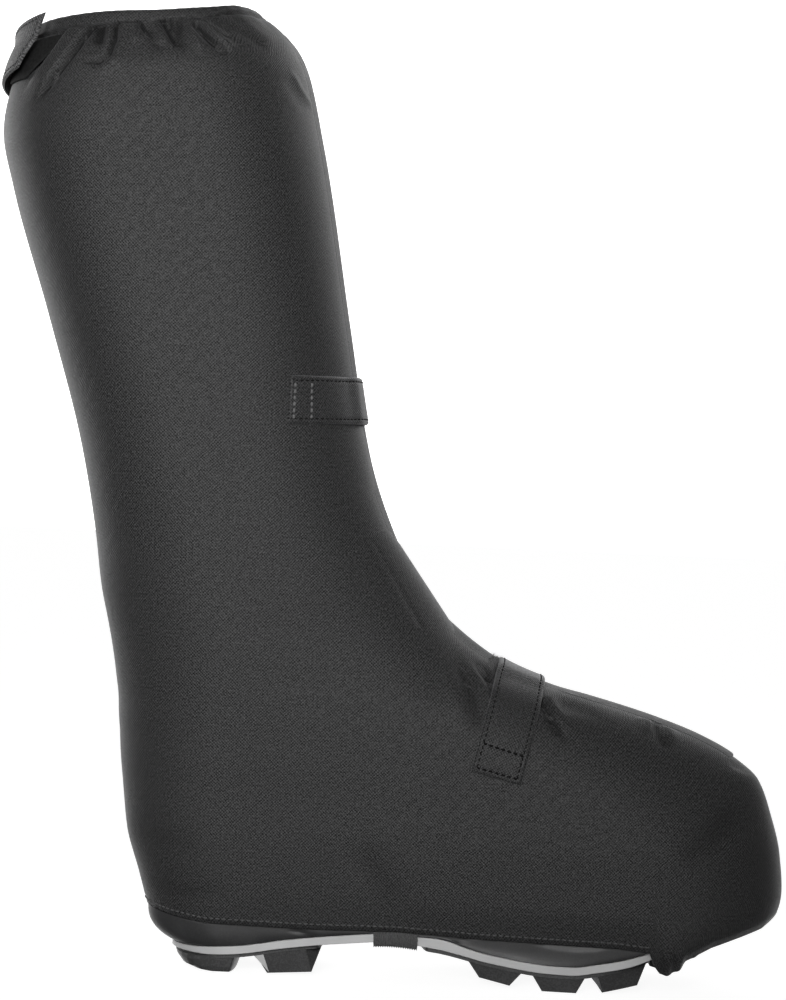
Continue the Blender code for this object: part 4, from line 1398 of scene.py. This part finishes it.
Lamp = namedtuple("Lamp", "name place target size spread power")
LAMPS = (
    Lamp("key", (-0.15, -1.45, 0.54), (-0.10, 0.0, 0.26), 0.5, 46.0, 1.32),
    Lamp("rim", (0.75, 0.75, 0.9), (0.02, 0.0, 0.36), 0.4, 30.0, 0.12),
    Lamp("rear_rim", (-0.95, 0.8, 0.4), (-0.06, 0.0, 0.2), 0.4, 44.0, 0.3),
)
BACK_LIGHT = 2.0      # the white wall behind the shoe, and what the camera sees of the studio
SIDE_LIGHT = 0.1      # the dark sides and front
BACK_FROM = (0.6, 0.95)


def add_lamp(lamp):
    data = bpy.data.lights.new(lamp.name, "AREA")
    data.shape = "RECTANGLE"
    data.size = data.size_y = lamp.size
    data.spread = math.radians(lamp.spread)
    data.energy = lamp.power
    obj = bpy.data.objects.new(lamp.name, data)
    away = np.array(lamp.place) - np.array(lamp.target)
    away /= np.linalg.norm(away)
    side = np.cross((0.0, 0.0, 1.0), away)
    side /= np.linalg.norm(side)
    turn = np.stack([side, np.cross(away, side), away], axis=1)
    obj.matrix_world = Matrix.Translation(lamp.place) @ Matrix(turn.tolist()).to_4x4()
    bpy.context.scene.collection.objects.link(obj)


def add_studio_walls():
    """White behind the shoe and dark at its sides, and white wherever the camera looks."""
    world = bpy.data.worlds.new("studio")
    nodes = Nodes(world)
    background = nodes.tree.nodes["Background"]
    background.inputs[0].default_value = (1.0, 1.0, 1.0, 1.0)
    backwards = nodes.split(nodes.add("TexCoord").outputs["Generated"])["Y"]
    walls = nodes.passage(backwards, *BACK_FROM, SIDE_LIGHT, BACK_LIGHT)
    seen = nodes.maths("MULTIPLY", nodes.add("LightPath").outputs["Is Camera Ray"], BACK_LIGHT)
    nodes.link(nodes.maths("MAXIMUM", walls, seen), background.inputs[1])
    bpy.context.scene.world = world


def main():
    fabric = cloth("cover_twill", (0.041, 0.041, 0.0415), sheen=0.11)
    strap_cloth = cloth("strap_twill", (0.04, 0.04, 0.0405), sheen=0.25)
    tab_cloth = cloth("tab_twill", (0.11, 0.11, 0.111), sheen=0.05)
    pile = plain_cloth("loop_pile", (0.02, 0.02, 0.02), sheen=0.0, scale=750.0)
    thread = plain_cloth("thread", (0.011, 0.011, 0.011), sheen=0.0)
    tab_thread = plain_cloth("tab_thread", (0.05, 0.05, 0.051), sheen=0.0)
    hem_thread = plain_cloth("hem_thread", (0.12, 0.12, 0.121), sheen=0.05)
    pale_thread = plain_cloth("pale_thread", (0.18, 0.18, 0.181), sheen=0.1)
    ribbed = plain_cloth("webbing_weave", (0.13, 0.13, 0.131), sheen=0.1, scale=1600.0)
    footbed = plain_cloth("footbed_cloth", (0.03, 0.03, 0.031), sheen=0.1, scale=900.0)
    wall_rubber = rubber("wall_rubber", (0.038, 0.038, 0.039), roughness=0.48, coat=0.03, speckle=0.6)
    tread_rubber = rubber("tread_rubber", (0.06, 0.06, 0.061), roughness=0.5, coat=0.0, speckle=1.6)
    mid_grey_rubber = rubber("mid_grey_rubber", (0.16, 0.16, 0.162), roughness=0.6, coat=0.0, speckle=1.6)
    grey = moulded("grey_nylon", (0.71, 0.71, 0.71))

    outer, normals = make_cover(fabric)
    make_flap(fabric)
    strips = {
        "shin": make_shin_strap(strap_cloth),
        "instep": make_instep_strap(strap_cloth),
        "collar": make_collar_strap(tab_cloth),
    }
    make_loop_patch(pile)
    make_webbing(ribbed)
    make_plate(grey)
    make_midsole(wall_rubber)
    for name in GREY_FACES:
        make_tread(name, tread_rubber, grey)
    make_facets("heel_lug_facets", HEEL_FACET, grey, "plate")
    make_facets("fore_lug_facets", FORE_FACET, mid_grey_rubber, "rubber")
    add_cover_stitches(outer, normals, hem_thread)
    add_strap_stitches(strips, {
        "shin": (thread, pale_thread, SHIN_BOX_THREAD),
        "instep": (thread, thread, BOX_THREAD),
        "collar": (tab_thread, tab_thread, THREAD),
    })
    add_fuzz(strips["instep"], pale_thread)
    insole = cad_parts["insole"].data
    insole.materials.clear()
    insole.materials.append(footbed)

    add_camera()
    add_floor()
    for lamp in LAMPS:
        add_lamp(lamp)
    add_studio_walls()
    bpy.context.scene.view_settings.view_transform = "Standard"


main()
